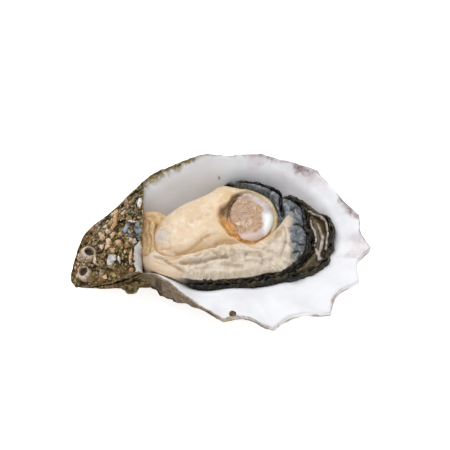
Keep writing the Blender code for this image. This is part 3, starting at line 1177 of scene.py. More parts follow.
# ------------------------------------------------------------------ the cup
@dataclass(frozen=True)
class Cup:
    """The form of the cupped half: its margin, the bowl and the lip, as heights over the plan."""

    middle: Place = (2.0, 2.0)
    floor: float = 5.0
    power: float = 3.0
    blend: float = 2.5
    margin: Track = track(
        (0, 48, 19.5), (20, 43.6, 21), (40, 39.2, 22.5), (55, 34.7, 24), (70, 31.8, 25), (86, 29.6, 25.5),
        (105, 30.2, 25.5), (128, 32.6, 25), (147, 36, 23), (160, 40.2, 18.4), (166, 43.8, 16.4),
        (172, 48.8, 14.4), (178, 52.2, 12.8), (184, 54.4, 11), (195, 57, 8), (203, 43, 13), (208, 34, 18.5),
        (222, 30, 21), (241, 30.5, 20.5), (255, 31.5, 19.5), (276, 33.4, 18.5), (294, 36.5, 18),
        (307, 40.8, 18), (322, 45, 18), (342, 47.6, 18.5),
    )
    bowl: Track = track(
        (0, 40.6, 0.4), (40, 33, 0.6), (90, 25, 1.3), (135, 29, 1.2), (165, 35, 0.4), (190, 37, 0.1),
        (210, 31, 0.8), (228, 27, 1.1), (255, 23, 0.4), (275, 21, 0.2), (300, 23.4, 0.18), (313, 26, 0.16),
        (325, 29.6, 0.16), (335, 34.6, 0.18), (346, 38, 0.25),
    )
    # bearing, reach past the margin, drop at the margin, half width
    flutes: tuple[tuple[float, float, float, float], ...] = (
        (104, 0.6, 0.5, 14), (68, 0.8, 0.8, 15), (37, 1.8, 1.0, 12), (9, 2.6, 1.1, 10), (354, 4.2, 1.2, 8),
        (339, 4.0, 1.2, 9), (320, 4.0, 1.2, 10), (294, 4.6, 1.6, 12), (268, 2.0, 1.0, 10),
    )
    keel_wall: float = 6.5
    lip_wall: float = 2.4
    edge_wall: float = 0.9
    hinge_wall: float = 24.0
    hinge_bearing: float = 190.0
    hinge_half_width: float = 60.0
    hinge_underside: float = 4.0

    def rim(self, bearing: Array) -> Array:
        """Returns the margin's distance from the middle, with the points of its folds."""
        return self.margin.at(bearing, 1) + sum(
            row[1] * self._fold(bearing, row) ** 1.5 for row in self.flutes
        )

    def drop(self, bearing: Array) -> Array:
        """Returns how far the rounded folds lower the margin."""
        return sum(row[2] * rise(0.0, 1.0, self._fold(bearing, row)) for row in self.flutes)

    def _fold(self, bearing: Array, row: tuple[float, ...]) -> Array:
        """Returns 1 in the middle of one fold of the margin, falling evenly to 0 at its sides."""
        return np.clip(1.0 - np.abs(turn_gap(bearing, row[0])) / row[3], 0.0, None)

    def inner(self, plan: Array) -> Array:
        """Shapes the inner surface, the bowl and the lip round it.

        Args:
            plan: places over the plan.

        Returns:
            Its height at each.
        """
        distance, bearing = polar(plan, self.middle)
        reach, edge = self.rim(bearing), self.margin.at(bearing, 2)
        turn, slope = self.bowl.at(bearing, 1), self.bowl.at(bearing, 2)
        turn_height = edge - slope * (self.margin.at(bearing, 1) - turn)
        bowl = self.floor + (turn_height - self.floor) * (distance / turn) ** self.power
        lip = turn_height + slope * (distance - turn)
        share = rise(turn - self.blend, turn + self.blend, distance)
        return bowl + (lip - bowl) * share - self.drop(bearing) * rise(0.68, 1.0, distance / reach)

    def outer(self, plan: Array) -> Array:
        """Shapes the outer surface, a wall's thickness away from the inner one.

        Args:
            plan: places over the plan.

        Returns:
            Its height at each.
        """
        distance, bearing = polar(plan, self.middle)
        share = np.minimum(distance / self.rim(bearing), 1.0)
        hinge = 1.0 - rise(0.0, self.hinge_half_width, np.abs(turn_gap(bearing, self.hinge_bearing)))
        wall = self.keel_wall + (self.lip_wall - self.keel_wall) * rise(0.1, 0.75, share)
        wall = wall + hinge * self.hinge_wall * rise(0.2, 0.7, share)
        near = on_bearing(np.maximum(distance - 0.5, 0.0), bearing, self.middle)
        inner = self.inner(plan)
        steep = np.minimum((inner - self.inner(near)) / 0.5, 2.2)
        offset = inner - wall * np.sqrt(1.0 + steep**2)
        base = hinge * self.hinge_underside * rise(0.6, 0.95, share)
        top = self.margin.at(bearing, 2) - self.edge_wall
        hull = base + (top - base) * (1.0 - (1.0 - share**4) ** 0.25) - 0.3
        return np.minimum(inner - self.edge_wall, np.maximum(0.0, np.maximum(offset, hull)))

    def bed(self, plan: Array, over: Array, thin: float = 0.4, gap: float = 0.3) -> Array:
        """Returns the lower side of flesh that lies in the cup, at least so thin and so far above it."""
        return np.minimum(self.over(plan, gap), over - thin)

    def over(self, plan: Array, gap: float = 0.3) -> Array:
        """Finds the height that clears the inner surface a little all round each place.

        Args:
            plan: places over the plan.
            gap: how far it clears it.

        Returns:
            The height at each.
        """
        found = self.inner(plan)
        for turn in np.radians(np.arange(0, 360, 60)):
            found = np.maximum(found, self.inner(plan + 0.5 * np.array((np.cos(turn), np.sin(turn), 0.0))))
        return found + gap


@dataclass
class Shell:
    """The cupped half itself, with its ragged lip and its layered outside."""

    cup: Cup
    spokes: int = 440
    rings: int = 192
    ragged: float = 0.55  # how far the margin wanders
    shelf: float = 1.0  # how far each layer of the outside stands out
    layers: float = 11.0
    girth: float = 36.0  # radius of the circle that the margin's noise is read on
    # bearing, olive skin on the lip, plum stain on it, brown edge, width of the stains
    stains: Track = track(
        (0, 0, 0.8, 0, 1.5), (4, 0, 0.5, 0, 1), (9, 0, 1, 0, 3.4), (16, 0, 1, 0, 3.8), (20, 0, 0.7, 0, 1.2),
        (25, 0, 0.2, 0, 0.8), (34, 0, 0.5, 0.1, 1.2), (39, 0, 1, 0.1, 4.4), (45, 0, 1, 0.1, 4.4),
        (50, 0, 0.6, 0.1, 1.4), (60, 0, 0.9, 0.1, 2.2), (70, 0, 0.6, 0.2, 1.4), (85, 0, 0.3, 0.5, 0.9),
        (100, 0.3, 0.1, 0.7, 0.9), (112, 0.8, 0, 0.9, 1.1), (122, 1, 0, 1, 2.4), (135, 1, 0, 1, 3.4),
        (150, 1, 0, 1, 4), (170, 1, 0, 1, 3.2), (200, 1, 0, 1, 3), (208, 0.6, 0, 1, 0.9),
        (240, 0.3, 0, 1, 0.7), (262, 0.2, 0, 1, 0.6), (272, 0.8, 0, 1, 0.9), (277, 0, 0.8, 0.5, 0.5),
        (290, 0, 0.7, 0.1, 0.5), (300, 0, 0.3, 0.1, 0.4), (318, 0, 0, 0, 0.4), (325, 0, 0.7, 0.7, 1.2),
        (331, 0, 0.3, 0.1, 0.5), (345, 0, 0.1, 0, 0.4), (353, 0, 0.4, 0, 0.8),
    )
    speck: Place = (-0.7, 26.0)

    def build(self) -> Piece:
        """Models and dresses the shell.

        Returns:
            The piece.
        """
        clay = Clay.ball("shell_cup", self.spokes, self.rings)
        level, bearing, side = clay.globe()
        share = 1.0 - (1.0 - level) ** 1.2
        ring = on_bearing(self.girth, bearing)
        calm = 1.0 - 0.5 * bump(turn_gap(bearing, 100.0), 50.0)
        wander = self.ragged * calm * (grain(ring, 7.0, 3, 11) + 0.6 * grain(ring, 2.0, 2, 12))
        rim = self.cup.rim(bearing) + wander * rise(0.75, 1.0, share)
        reach = share * rim
        plan = on_bearing(reach, bearing, self.cup.middle)
        inner = self._inside(plan, share)
        outer, out = self._outside(plan, share, bearing)
        height = np.where(side > 0, inner, np.where(side < 0, outer, (inner + outer) / 2))
        clay.write(raised(plan + on_bearing(np.where(side < 0, out, 0.0), bearing), height))
        self._stain(clay, plan, share, bearing, rim - reach, side)
        return clay.dress(Nacre(), "pearl", "shell")

    def _inside(self, plan: Array, share: Array) -> Array:
        """Returns the heights of the white inside."""
        lumps = 0.22 * grain(plan, 11.0, 2, 13) * rise(0.5, 0.95, share)
        return self.cup.inner(plan) + lumps - 0.35 * rise(0.97, 1.0, share)

    def _outside(self, plan: Array, share: Array, bearing: Array) -> tuple[Array, Array]:
        """Shapes the layered outside.

        Args:
            plan: the places over the plan.
            share: each place's share of the way out.
            bearing: each place's bearing.

        Returns:
            Its heights, and how far it stands out.
        """
        layer = self._layer(plan, share)
        step = (layer - np.floor(layer)) ** 2
        rough = grain(plan, 3.0, 3, 24)
        ribs = np.cos(np.radians(bearing) * 26.0 + 2.0 * grain(plan, 20.0, 2, 23))
        near = rise(0.35, 0.6, share) * (1.0 - rise(0.985, 1.0, share))
        hinge = 1.0 - rise(20.0, 60.0, np.abs(turn_gap(bearing, 205.0)))
        lumps, _ = pebbles(plan * (1.0, 1.0, 0.0) + 0.6 * grain(plan, 1.5, 2, 26)[:, None], 2.2, 27)
        crusty = hinge * (1.2 * grain(plan, 7.0, 2, 25) + 0.9 * (0.5 - lumps))
        out = (self.shelf * step + 0.3 * ribs + 0.35 * rough + crusty) * near
        drop = 0.5 * self.shelf * step * near
        beak = 2.6 * bump(turn_gap(bearing, 199.0), 8.0) * rise(0.75, 0.97, share)
        low = np.minimum(self.cup.outer(plan) + beak, self.cup.inner(plan) - 0.9)
        return np.maximum(low - drop * 0.6, 0.0), out

    def _layer(self, plan: Array, share: Array) -> Array:
        """Returns which layer of the outside each place is in, counted from the keel."""
        return share**2 * self.layers + 0.45 * grain(plan, 14.0, 3, 21)

    def _stain(
        self, clay: Clay, plan: Array, share: Array, bearing: Array, below: Array, side: Array
    ) -> None:
        """Keeps the masks that the material reads.

        Args:
            clay: the shell.
            plan: the places over the plan.
            share: each place's share of the way out.
            bearing: each place's bearing.
            below: each place's distance from the lip.
            side: 1 inside, -1 outside and 0 on the lip.
        """
        width = np.clip(self.stains.at(bearing, 4), 0.3, 4.0)
        uneven = 0.55 * grain(on_bearing(self.girth, bearing), 3.0, 3, 15) + 0.25 * grain(plan, 0.9, 2, 16)
        lip = 1.0 - rise(0.35, 1.0, below / width + uneven)
        upper = side > 0
        low = toward(bearing, 215.0, 40.0, 62.0)
        clay.mark("outside", np.maximum((side < 0) * rise(0.0, 0.4, below), 0.8 * low * (side <= 0)))
        dim = 1.0 - rise(0.6, 2.0, below)
        band = 0.75 + 0.9 * toward(bearing, 222.0, 14.0, 32.0)
        edge = 1.0 - rise(0.0, 1.0, (below + 0.3 * uneven) / band)
        sides = {"olive": (lip, dim), "plum": (lip, 1.0), "brown": (edge, 1.0)}
        for column, (name, (above, beneath)) in enumerate(sides.items(), 1):
            share_here = np.clip(self.stains.at(bearing, column), 0, 1)
            clay.mark(name, share_here * np.where(upper, above, beneath))
        wide = rise(14.0, 2.0, below + 3.0 * grain(plan, 9.0, 2, 17)) * (bearing < 75) * (bearing > -12)
        clay.mark("blush", 0.95 * wide * rise(-0.4, 0.4, grain(plan, 6.0, 2, 18)))
        clay.mark("layer", self._layer(plan, share) * 1.5)
        hinge = 1.0 - rise(16.0, 34.0, np.abs(turn_gap(bearing, 184.0)) + 6.0 * grain(plan, 5.0, 2, 19))
        inside = rise(0.86, 0.92, share + 0.03 * grain(plan, 3.0, 2, 22))
        rim = rise(1.7, 0.7, below + 1.2 * uneven)
        rim = rim * within(bearing, 100.0, 122.0, 180.0, 200.0)
        near = 0.6 * rise(1.5, 0.6, below + 0.8 * uneven) * toward(bearing, 220.0, 24.0, 34.0)
        hinge = hinge * np.where(upper, inside, rise(0.5, 0.7, share))
        clay.mark("growth", np.maximum(hinge, (0.9 * rim + near) * upper))
        # Painted shade: the deep mask greys the back wall towards the flesh.
        back = toward(bearing, 117.0, 30.0, 72.0)
        clay.mark("deep", 0.6 * back * within(share, 0.97, 0.66, 0.45, 0.30) * upper)
        # The shade mask: painted shade over the outside band and the lip near the hinge (low), and a darker
        # growth tone along the back-left lip (behind).
        behind = 0.75 * upper * rise(95.0, 115.0, bearing) * (bearing < 200.0)
        clay.mark("shade", np.maximum(low, behind))
        clay.mark("speck", upper * bump(polar(plan, self.speck)[0], 0.35))


# ------------------------------------------------------------------ flesh
@dataclass(frozen=True)
class Oval:
    """An oval over the plan."""

    middle: Place
    half_length: float
    half_width: float

    def spread(self, plan: Array) -> tuple[Array, Array]:
        """Returns each place's distance from the middle, 1 on the oval, and its bearing."""
        sides = (self.half_length, self.half_width, 1.0)
        return polar((plan - (*self.middle, 0.0)) / sides)

    def places(self, share: Array, bearing: Array) -> Array:
        """Returns the places at a share of the oval and a bearing in it."""
        sides = (self.half_length, self.half_width, 1.0)
        return on_bearing(share, bearing) * sides + (*self.middle, 0.0)


EYE = Oval((10.6, 8.5), 8.6, 10.0)  # the well of the body, which the muscle fills


@dataclass
class Body:
    """The cream body, with the well that the muscle lies in."""

    cup: Cup
    middle: Place = (-2.0, 7.0)
    patch: Oval = Oval((-21.0, 0.2), 3.3, 3.9)
    outline: Track = track(
        (0, 23.2), (22, 22.9), (46, 19.3), (65, 17.2), (80, 16.4), (101, 13.2), (126, 12.7), (149, 15),
        (160, 16.6), (168, 18.2), (178, 20.8), (187, 22.8), (198, 24), (212, 25), (222, 22.6), (234, 18),
        (245, 14.4), (265, 11.4), (290, 10.8), (310, 12.6), (317, 14.4), (324, 17.2), (337, 19.8),
        (346, 21.7),
    )
    # bearing in the well, width of its slope as a share of the oval, its depth
    slope: Track = track(
        (0, 0.05, 0.7), (30, 0.03, 0.6), (63, 0.03, 0.6), (98, 0.05, 1.2), (120, 0.11, 2), (135, 0.14, 2.6),
        (152, 0.09, 2.7), (162, 0.26, 2.9), (169, 0.42, 3), (180, 0.46, 2.8), (192, 0.44, 2.5),
        (205, 0.38, 2.2), (219, 0.33, 1.9), (240, 0.17, 1.3), (270, 0.13, 1), (300, 0.09, 0.8),
        (330, 0.08, 0.7),
    )
    folds: tuple[Fold, ...] = (
        fold(-0.3, 0.6, (-18.6, -5.6), (-15.1, -6.6), (-10.1, -4.6), (-6.8, -2), (-4.3, -0.4), (-1, 0.6)),
        fold(0.25, 1.2, (-17.5, -4.0), (-12.5, -3.6), (-8.0, -0.8), (-4.0, 1.6)),
        fold(-0.22, 0.5, (-3.0, -3.0), (1.5, -1.6), (6.0, -1.2)),
        fold(0.40, 2.2, (-16.0, 7.6), (-12.0, 9.0), (-7.0, 11.4), (-3.0, 13.6)),
        fold(-0.14, 0.7, (-13.0, 4.4), (-8.0, 6.4), (-3.8, 8.4)),
        fold(0.15, 1.4, (-11.5, 2.0), (-7.0, 4.0), (-3.6, 5.0)),
        fold(-0.12, 0.7, (-20.4, 5.8), (-18.4, 4.4), (-17.2, 2.6)),
        fold(0.35, 0.6, (-23.4, 3.0), (-24.0, -0.5), (-23.2, -4.4), (-20.0, -6.2), (-17.6, -7.0)),
        fold(-0.25, 0.45, (-22.6, -4.2), (-20.0, -4.9), (-17.4, -4.8)),
        fold(-0.2, 0.35, (-21.9, 3.2), (-19.8, 2.0), (-18.0, 0.4)),
        fold(-0.2, 0.35, (-21.8, 0.2), (-20.2, -1.4), (-18.4, -2.0)),
        fold(0.35, 0.9, (-1.6, 12.6), (0.2, 15.8), (3.4, 18.4)),
    )

    def build(self) -> Piece:
        """Models and dresses the body.

        Returns:
            The piece.
        """
        clay = Clay.ball("flesh_body", 340, 168)
        level, bearing, side = clay.globe()
        plan = on_bearing(level * self.outline.at(bearing), bearing, self.middle)
        spread, turn = EYE.spread(plan)
        spread = spread + 0.03 * grain(plan, 2.5, 2, 30)
        width = self.slope.at(turn, 1)
        over = self._top(plan, level)
        down = rise(1.0 + width, 1.0 + 0.25 * width, spread)
        around = within(turn, -36.0, -20.0, 100.0, 118.0)
        over = over - self.slope.at(turn, 2) * down - 6.0 * rise(0.98, 0.9, spread)
        over += 0.9 * around * bump(spread - 1.0 - width - 0.08, 0.07)
        clay.write(raised(plan, np.where(side > 0, over, self.cup.bed(plan, over, 0.3))))
        patch = self.patch.spread(plan)[0] + 0.3 * grain(plan, 2.5, 2, 31)
        clay.mark("patch", 0.85 * (1.0 - rise(0.55, 1.1, patch)))
        end = rise(-20.5, -24.0, plan[:, 0] + 0.8 * grain(plan, 3.0, 2, 32))
        clay.mark("ochre", 0.5 * end * rise(2.0, 5.0, plan[:, 1]))
        wander = turn % 360.0 + 10.0 * grain(plan, 3.0, 2, 37)
        wet = rise(0.05, 0.75, down + 0.3 * grain(plan, 1.8, 3, 36))
        # The hollow left of the muscle: brown flesh with painted shade under the body's overhang.
        clay.mark("recess", wet * within(wander, 100.0, 112.0, 172.0, 188.0))
        low = within(wander, 172.0, 188.0, 335.0, 350.0)
        clay.mark("orange", wet * low * rise(0.0, 0.1, width - 0.05))
        ring = rise(0.0, 0.015, spread - 1.0 - 0.5 * width) * rise(0.21, 0.15, spread - 1.0 - width)
        clay.mark("lip", around * ring * (side > 0))
        clay.mark("calm", (1.0 - wet) * (side > 0))
        clay.mark("glow", rise(1.75, 1.25, spread) * within(wander, 120.0, 140.0, 225.0, 250.0))
        creases = sum(np.minimum(item.relief(plan), 0.0) for item in self.folds)
        seam = 0.55 * rise(0.93, 0.99, level) * toward(bearing, 265.0, 50.0, 70.0)
        clay.mark("crease", np.clip(seam - creases * 2.2, 0.0, 0.8))
        return clay.dress(Cream(), "cream", "body")

    def _top(self, plan: Array, level: Array) -> Array:
        """Shapes the upper side, the well left out.

        Args:
            plan: the places over the plan.
            level: each place's share of the way out.

        Returns:
            Its heights.
        """
        over = 18.6 + 3.9 * (1.0 - level**3.4) - 2.6 * level**16
        over = over + sum(item.relief(plan) for item in self.folds)
        over += 0.30 * grain(plan, 6.0, 2, 33) + 0.05 * grain(plan, 1.2, 2, 34)
        patch = self.patch.spread(plan)[0]
        return over - 0.5 * bump(patch, 0.8) + 0.16 * grain(plan, 1.1, 2, 35) * rise(1.2, 0.6, patch)


@dataclass
class Muscle:
    """The dusky muscle in its well: wrinkled, with a clear band, a pale crescent and a smooth lobe."""

    cup: Cup
    floor: float = 18.75
    lobe: Oval = Oval((11.0, 0.2), 4.2, 2.3)
    # bearing, how far out the raised flesh reaches, as a share of the oval
    raised: Track = track(
        (0, 1.3), (60, 1.3), (100, 1.04), (125, 0.96), (145, 0.92), (162, 0.86), (185, 0.80), (205, 0.71),
        (220, 0.71), (236, 0.86), (252, 1.05), (290, 1.3),
    )

    def build(self) -> Piece:
        """Models and dresses the muscle.

        Returns:
            The piece.
        """
        clay = Clay.ball("flesh_muscle", 300, 200)
        level, bearing, side = clay.globe()
        plan = EYE.places(level, bearing)
        x, y, _ = plan.T
        bound = self.raised.at(bearing) + 0.07 * grain(on_bearing(8.0, bearing), 1.5, 2, 40)
        inside = rise(bound + 0.05, bound - 0.03, level)
        around = (np.abs((x - 8.7) / 6.5) ** 2.6 + np.abs((y - 9.1) / 7.9) ** 2.6) ** (1 / 2.6)
        around = around + 0.2 * grain(plan, 2.4, 3, 41)
        wrinkled = rise(1.05, 0.88, around) * inside
        ridges = self._wrinkles(plan)
        lobe, _ = self.lobe.spread(plan)
        open_edge = rise(75.0, 105.0, np.abs(turn_gap(bearing, 172.0)))
        over = self.floor + inside * (1.05 + 0.40 * wrinkled * ridges - 0.45 * rise(1.15, 0.75, around))
        over += 0.45 * bump(level - 0.82, 0.16) * bump(turn_gap(bearing, -20.0), 50.0)
        over += 0.45 * rise(1.3, 0.3, lobe) - 1.5 * open_edge * level**9
        over += 0.06 * grain(plan, 1.4, 2, 43)
        clay.write(raised(plan, np.where(side > 0, over, self.cup.bed(plan, over, 0.5, 0.6))))
        wrinkled = wrinkled * rise(0.7, 1.2, lobe)
        clay.mark("wrinkled", wrinkled)
        clay.mark("furrow", 0.4 * wrinkled * np.clip(0.35 - 1.1 * ridges, 0.0, 1.0))
        clay.mark("ridge", 0.65 * wrinkled * rise(0.25, 0.55, ridges))
        pale = rise(14.2, 16.4, x + 0.9 * grain(plan, 1.5, 2, 44)) * rise(0.985, 0.93, level)
        clay.mark("crescent", pale * within(y, 0.2, 1.6, 8.6, 11.6))
        wander = bearing % 360.0 + 8.0 * grain(plan, 2.0, 2, 42)
        # The muscle's edge in the hollow: brown flesh with painted shade under the body's overhang.
        clay.mark("recess", (1.0 - inside) * within(wander, 95.0, 105.0, 175.0, 190.0))
        seam = rise(0.93, 0.985, level) * rise(345.0, 325.0, wander)
        low = rise(175.0, 190.0, wander)
        clay.mark("orange", low * np.maximum(1.0 - inside, seam))
        clay.mark("lobe", 0.8 * rise(1.3, 0.6, lobe))
        return clay.dress(Dusky(), "dusky", "muscle")

    def _wrinkles(self, plan: Array) -> Array:
        """Winds wrinkles over the muscle.

        Args:
            plan: the places over the plan.

        Returns:
            About -0.5 in a furrow and up to 0.5 on a ridge.
        """
        bent = plan + 1.3 * stack(grain(plan, 2.4, 2, 45), grain(plan, 2.4, 2, 46), 0.0)
        first = 1.0 - 2.8 * np.abs(grain(bent, 1.45, 1, 47))
        second = 1.0 - 2.8 * np.abs(grain(bent, 0.8, 1, 48))
        return np.clip(0.5 * first + 0.3 * second, -0.6, 0.7) - 0.1


@dataclass
class Palps:
    """A soft ochre roll at the hinge end of the body, grooved along its length."""

    cup: Cup
    name: str = "flesh_palps"
    trail: Trail = trail((-25.8, 9.8), (-26, 5.6), (-26.4, 2), (-26.3, -2), (-25.7, -5), (-24.9, -7.4))
    half_width: float = 2.4
    top: float = 19.5
    fall: float = 0.0
    # share across, depth of the groove, its half width as a share
    grooves: tuple[tuple[float, float, float], ...] = ((0.3, 0.16, 0.10), (0.66, 0.40, 0.07))
    seed: int = 50
    nodes: tuple[str, ...] = ("palps",)

    def build(self) -> Piece:
        """Models and dresses the roll.

        Returns:
            The piece.
        """
        clay = Clay.slab(self.name, 150, 60)
        along, across, _ = clay.read().T
        run = stack(along * 16.0, 0.0, self.seed)
        ends = np.clip(rise(0.0, 0.16, along) * rise(0.0, 0.16, 1.0 - along), 0.0, 1.0)
        wide = self.half_width * (1.0 + 0.15 * grain(run, 4.0, 2, self.seed)) * (0.35 + 0.65 * ends)
        plan = self.trail.beside(along, wide * (2 * across - 1))
        share = across + 0.26 * grain(run, 5.0, 2, self.seed + 1)
        grooved = sum(row[1] * bump(share - row[0], row[2]) for row in self.grooves)
        grooved = grooved * ends * (0.7 + 0.8 * grain(run, 2.4, 2, 58))
        over = self.top - self.fall * along**2 - 1.5 * (1.0 - ends)
        over += 0.5 * grain(plan, 3.0, 2, self.seed + 2) + 0.08 * grain(plan, 0.9, 2, self.seed + 3)
        over -= 1.1 * (2 * across - 1) ** 6 + grooved
        clay.settle(plan, over, self.cup.bed(plan, over))
        clay.mark("crease", np.clip(grooved * 1.1, 0.0, 0.7))
        return clay.dress(Ochre(), "ochre", *self.nodes)


def palps(cup: Cup) -> tuple[Palps, ...]:
    """Lays out the palps.

    Args:
        cup: what they lie in.

    Returns:
        The roll across the end of the body, and the one along its back corner.
    """
    line = trail((-28.4, 7.4), (-26.4, 8.6), (-24.0, 8.8), (-21.4, 8.0), (-18.6, 7.4), (-16.0, 8.0))
    grooves = ((0.45, 0.35, 0.07),)
    back = Palps(cup, "flesh_palp_back", line, 2.5, 20.4, 4.5, grooves, 55, ())
    return Palps(cup), back


@dataclass
class Mantle:
    """The band of flesh round the body: slate behind and at the right, cream in front."""

    cup: Cup
    body: Body
    start: float = 76.0
    end: float = -155.0
    reach: Track = track(
        (0, 32), (9, 31.8), (17, 29.6), (23, 26.6), (30, 25.2), (39, 23.3), (50, 20.9), (62, 18.3),
        (74, 16.3), (100, 13.4), (204, 28.8), (210, 29.8), (217, 30), (222, 29.2), (239, 26.4), (247, 25.4),
        (261, 24.5), (276, 23.9), (292, 25), (301, 26.4), (311, 27.9), (317, 30.2), (321, 31.8), (328, 33),
        (340, 34.2), (353, 33),
    )
    cream_folds: tuple[Fold, ...] = (
        fold(-0.8, 0.7, (-16.5, -10.7), (-11.2, -10.6), (-6.8, -10.1), (-1.2, -8.6), (4.3, -8.1)),
        fold(0.55, 1.3, (-14.0, -8.9), (-8.0, -8.0), (-2.0, -6.2), (4.0, -5.2), (9.0, -5.2)),
        fold(-0.6, 0.5, (-24.8, -7.4), (-20.4, -8.8), (-18.2, -10.6), (-15.2, -12.8), (-12.8, -14.6)),
        fold(0.4, 0.9, (-16.6, -11.4), (-13.6, -12.8), (-11.0, -14.6)),
        fold(-0.3, 0.5, (-9.4, -12.8), (-5.0, -12.6)),
        fold(-0.3, 0.5, (-1.0, -11.6), (4.0, -11.4), (8.0, -11.8)),
        fold(0.5, 1.2, (-8.0, -14.6), (0.0, -14.4), (8.0, -13.8), (14.0, -11.6)),
        fold(-0.35, 0.4, (9.4, -6.0), (8.6, -8.6), (9.6, -10.6)),
        fold(-0.3, 0.4, (12.6, -5.8), (14.8, -9.0), (15.0, -12.0)),
        fold(-0.25, 0.35, (-3.6, -5.6), (-1.6, -7.4), (0.6, -8.0)),
        fold(-0.25, 0.35, (4.4, -3.8), (4.0, -6.0), (5.4, -7.4)),
        fold(-0.4, 0.4, (21.6, 6.4), (22.8, 3.4), (23.4, -0.4), (22.6, -4.6), (21.4, -8.0)),
        fold(0.35, 0.9, (14.0, -3.6), (17.6, -1.6), (20.4, 1.8), (21.6, 5.2)),
    )
    slate_folds: tuple[Fold, ...] = (
        fold(-1.6, 0.55, (22.4, 18.6), (21.7, 16.4), (21.6, 14.0), (22.2, 11.6), (22.6, 8.8)),
        fold(0.5, 0.8, (20.6, 17.6), (20.0, 15.0), (20.6, 12.2), (21.0, 9.4)),
        fold(0.4, 0.9, (24.2, 16.0), (23.8, 13.6), (24.6, 11.0)),
        fold(-0.5, 0.4, (28.4, 12.6), (26.6, 12.4), (25.2, 11.0)),
        fold(0.5, 1.0, (29.6, 8.6), (27.4, 8.2), (25.6, 8.6)),
        fold(-0.7, 0.4, (30.2, 4.4), (28.2, 5.4), (25.6, 5.2)),
        fold(0.5, 1.1, (31.0, 1.0), (28.4, 2.0), (26.0, 1.2)),
        fold(-0.6, 0.35, (30.6, -2.2), (28.6, -2.6), (26.4, -1.6), (25.2, -2.4)),
        fold(-0.7, 0.4, (29.0, -5.6), (27.2, -5.4), (25.2, -6.4)),
        fold(-0.5, 0.4, (18.4, 20.6), (17.6, 18.6), (17.4, 17.4)),
        fold(-0.35, 0.35, (15.4, 21.8), (14.6, 20.4), (14.2, 19.4)),
    )

    def build(self) -> Piece:
        """Models and dresses the mantle.

        Returns:
            The piece.
        """
        clay = Clay.slab("flesh_mantle", 640, 90)
        along, across, top = clay.read().T
        bearing = self.start + (self.end - self.start) * along
        inner = self.body.outline.at(bearing) - 1.0 + 0.9 * rise(-20.0, 10.0, bearing)
        outer = np.maximum(self.reach.at(bearing), inner + 1.2)
        plan = on_bearing(inner + (outer - inner) * across, bearing, self.body.middle)
        slate = self._slate(plan)
        over = 20.5 - 0.9 * across - 1.6 * across**6
        over -= 1.6 * (2 * along - 1) ** 20 + 1.4 * (1.0 - rise(0.0, 0.10, across)) * (1.0 - slate)
        over -= 3.0 * (1.0 - rise(0.0, 0.30, across)) * slate
        over -= 0.9 * rise(-112.0, -145.0, bearing)
        relief, creases = self._creases(plan, slate)
        over += relief
        stripe = rise(-0.1, 0.5, grain(stack(bearing * 0.45, across * 1.2, 0.0), 0.55, 2, 62))
        front = within(bearing, -128.0, -116.0, -20.0, 0.0)
        front = (1.0 - slate) * rise(0.30, 0.55, across) * front
        over += 0.12 * stripe * front
        crumple = 1.0 - 2.4 * np.abs(grain(plan * (1.0, 0.7, 1.0), 2.6, 2, 65))
        over += (0.38 * (1.0 - slate) * rise(-128.0, -116.0, bearing) + 0.28 * slate) * crumple
        over += 0.3 * grain(plan, 5.0, 3, 63)
        folded = 1.0 - 2.6 * np.abs(grain(stack(bearing * 0.09, across * 4.5, 0.0), 1.0, 3, 69))
        over += 0.45 * (1.0 - slate) * folded * within(across, 0.75, 0.45, 0.1, 0.02)
        clay.settle(plan, over, self.cup.bed(plan, over))
        clay.mark("slate", slate)
        clay.mark("crease", np.clip(-creases * (0.7 + 0.3 * slate), 0.0, 0.8))
        dark = rise(0.965, 0.99, across) * rise(0.0, 0.03, along) * rise(-125.0, -110.0, bearing)
        clay.mark("rim", np.where(top > 0.5, dark, rise(-125.0, -110.0, bearing)))
        clay.mark("peach", rise(-112.0, -128.0, bearing + 5.0 * grain(plan, 3.0, 2, 66)))
        clay.mark("stripe", stripe * front)
        clay.mark("warm", (1.0 - slate) * rise(0.42, 0.05, across + 0.12 * grain(plan, 3.0, 2, 70)))
        # Painted highlight: the pale mask lightens the tops of the cream's folds.
        clay.mark("pale", (1.0 - slate) * 0.6 * rise(0.1, 0.8, folded) * rise(0.95, 0.7, across))
        clay.mark("streak", slate * rise(0.70, 1.0, crumple) * rise(-0.2, 0.5, grain(plan, 3.5, 2, 68)))
        return clay.dress(Veil(), "slate", "mantle")

    def _slate(self, plan: Array) -> Array:
        """Parts the slate from the cream.

        Args:
            plan: the places over the plan.

        Returns:
            1 where the mantle is slate and 0 where it is cream.
        """
        x, y, _ = plan.T
        wander = 0.9 * grain(plan, 2.6, 4, 61)
        right = rise(23.8, 26.4, x + 1.8 * wander) * rise(-10.6, -8.0, y + wander)
        behind = rise(-0.6, 0.8, y + wander - 6.3 - 1.05 * (x - 22.1))
        return np.maximum(right, behind * rise(1.0, 4.0, y))

    def _creases(self, plan: Array, slate: Array) -> tuple[Array, Array]:
        """Folds the mantle.

        Args:
            plan: the places over the plan.
            slate: where the mantle is slate.

        Returns:
            The height that the folds add, and how much of it their creases take.
        """
        relief, creases = np.zeros_like(slate), np.zeros_like(slate)
        for items, share in ((self.cream_folds, 1.0 - slate), (self.slate_folds, slate)):
            for item in items:
                height = 1.2 * item.relief(plan) * share
                relief += height
                creases += np.minimum(height, 0.0)
        return relief, creases


class Kind(Enum):
    """What a ruffled edge is made of."""

    DARK = Sable()
    PALE = Blush()


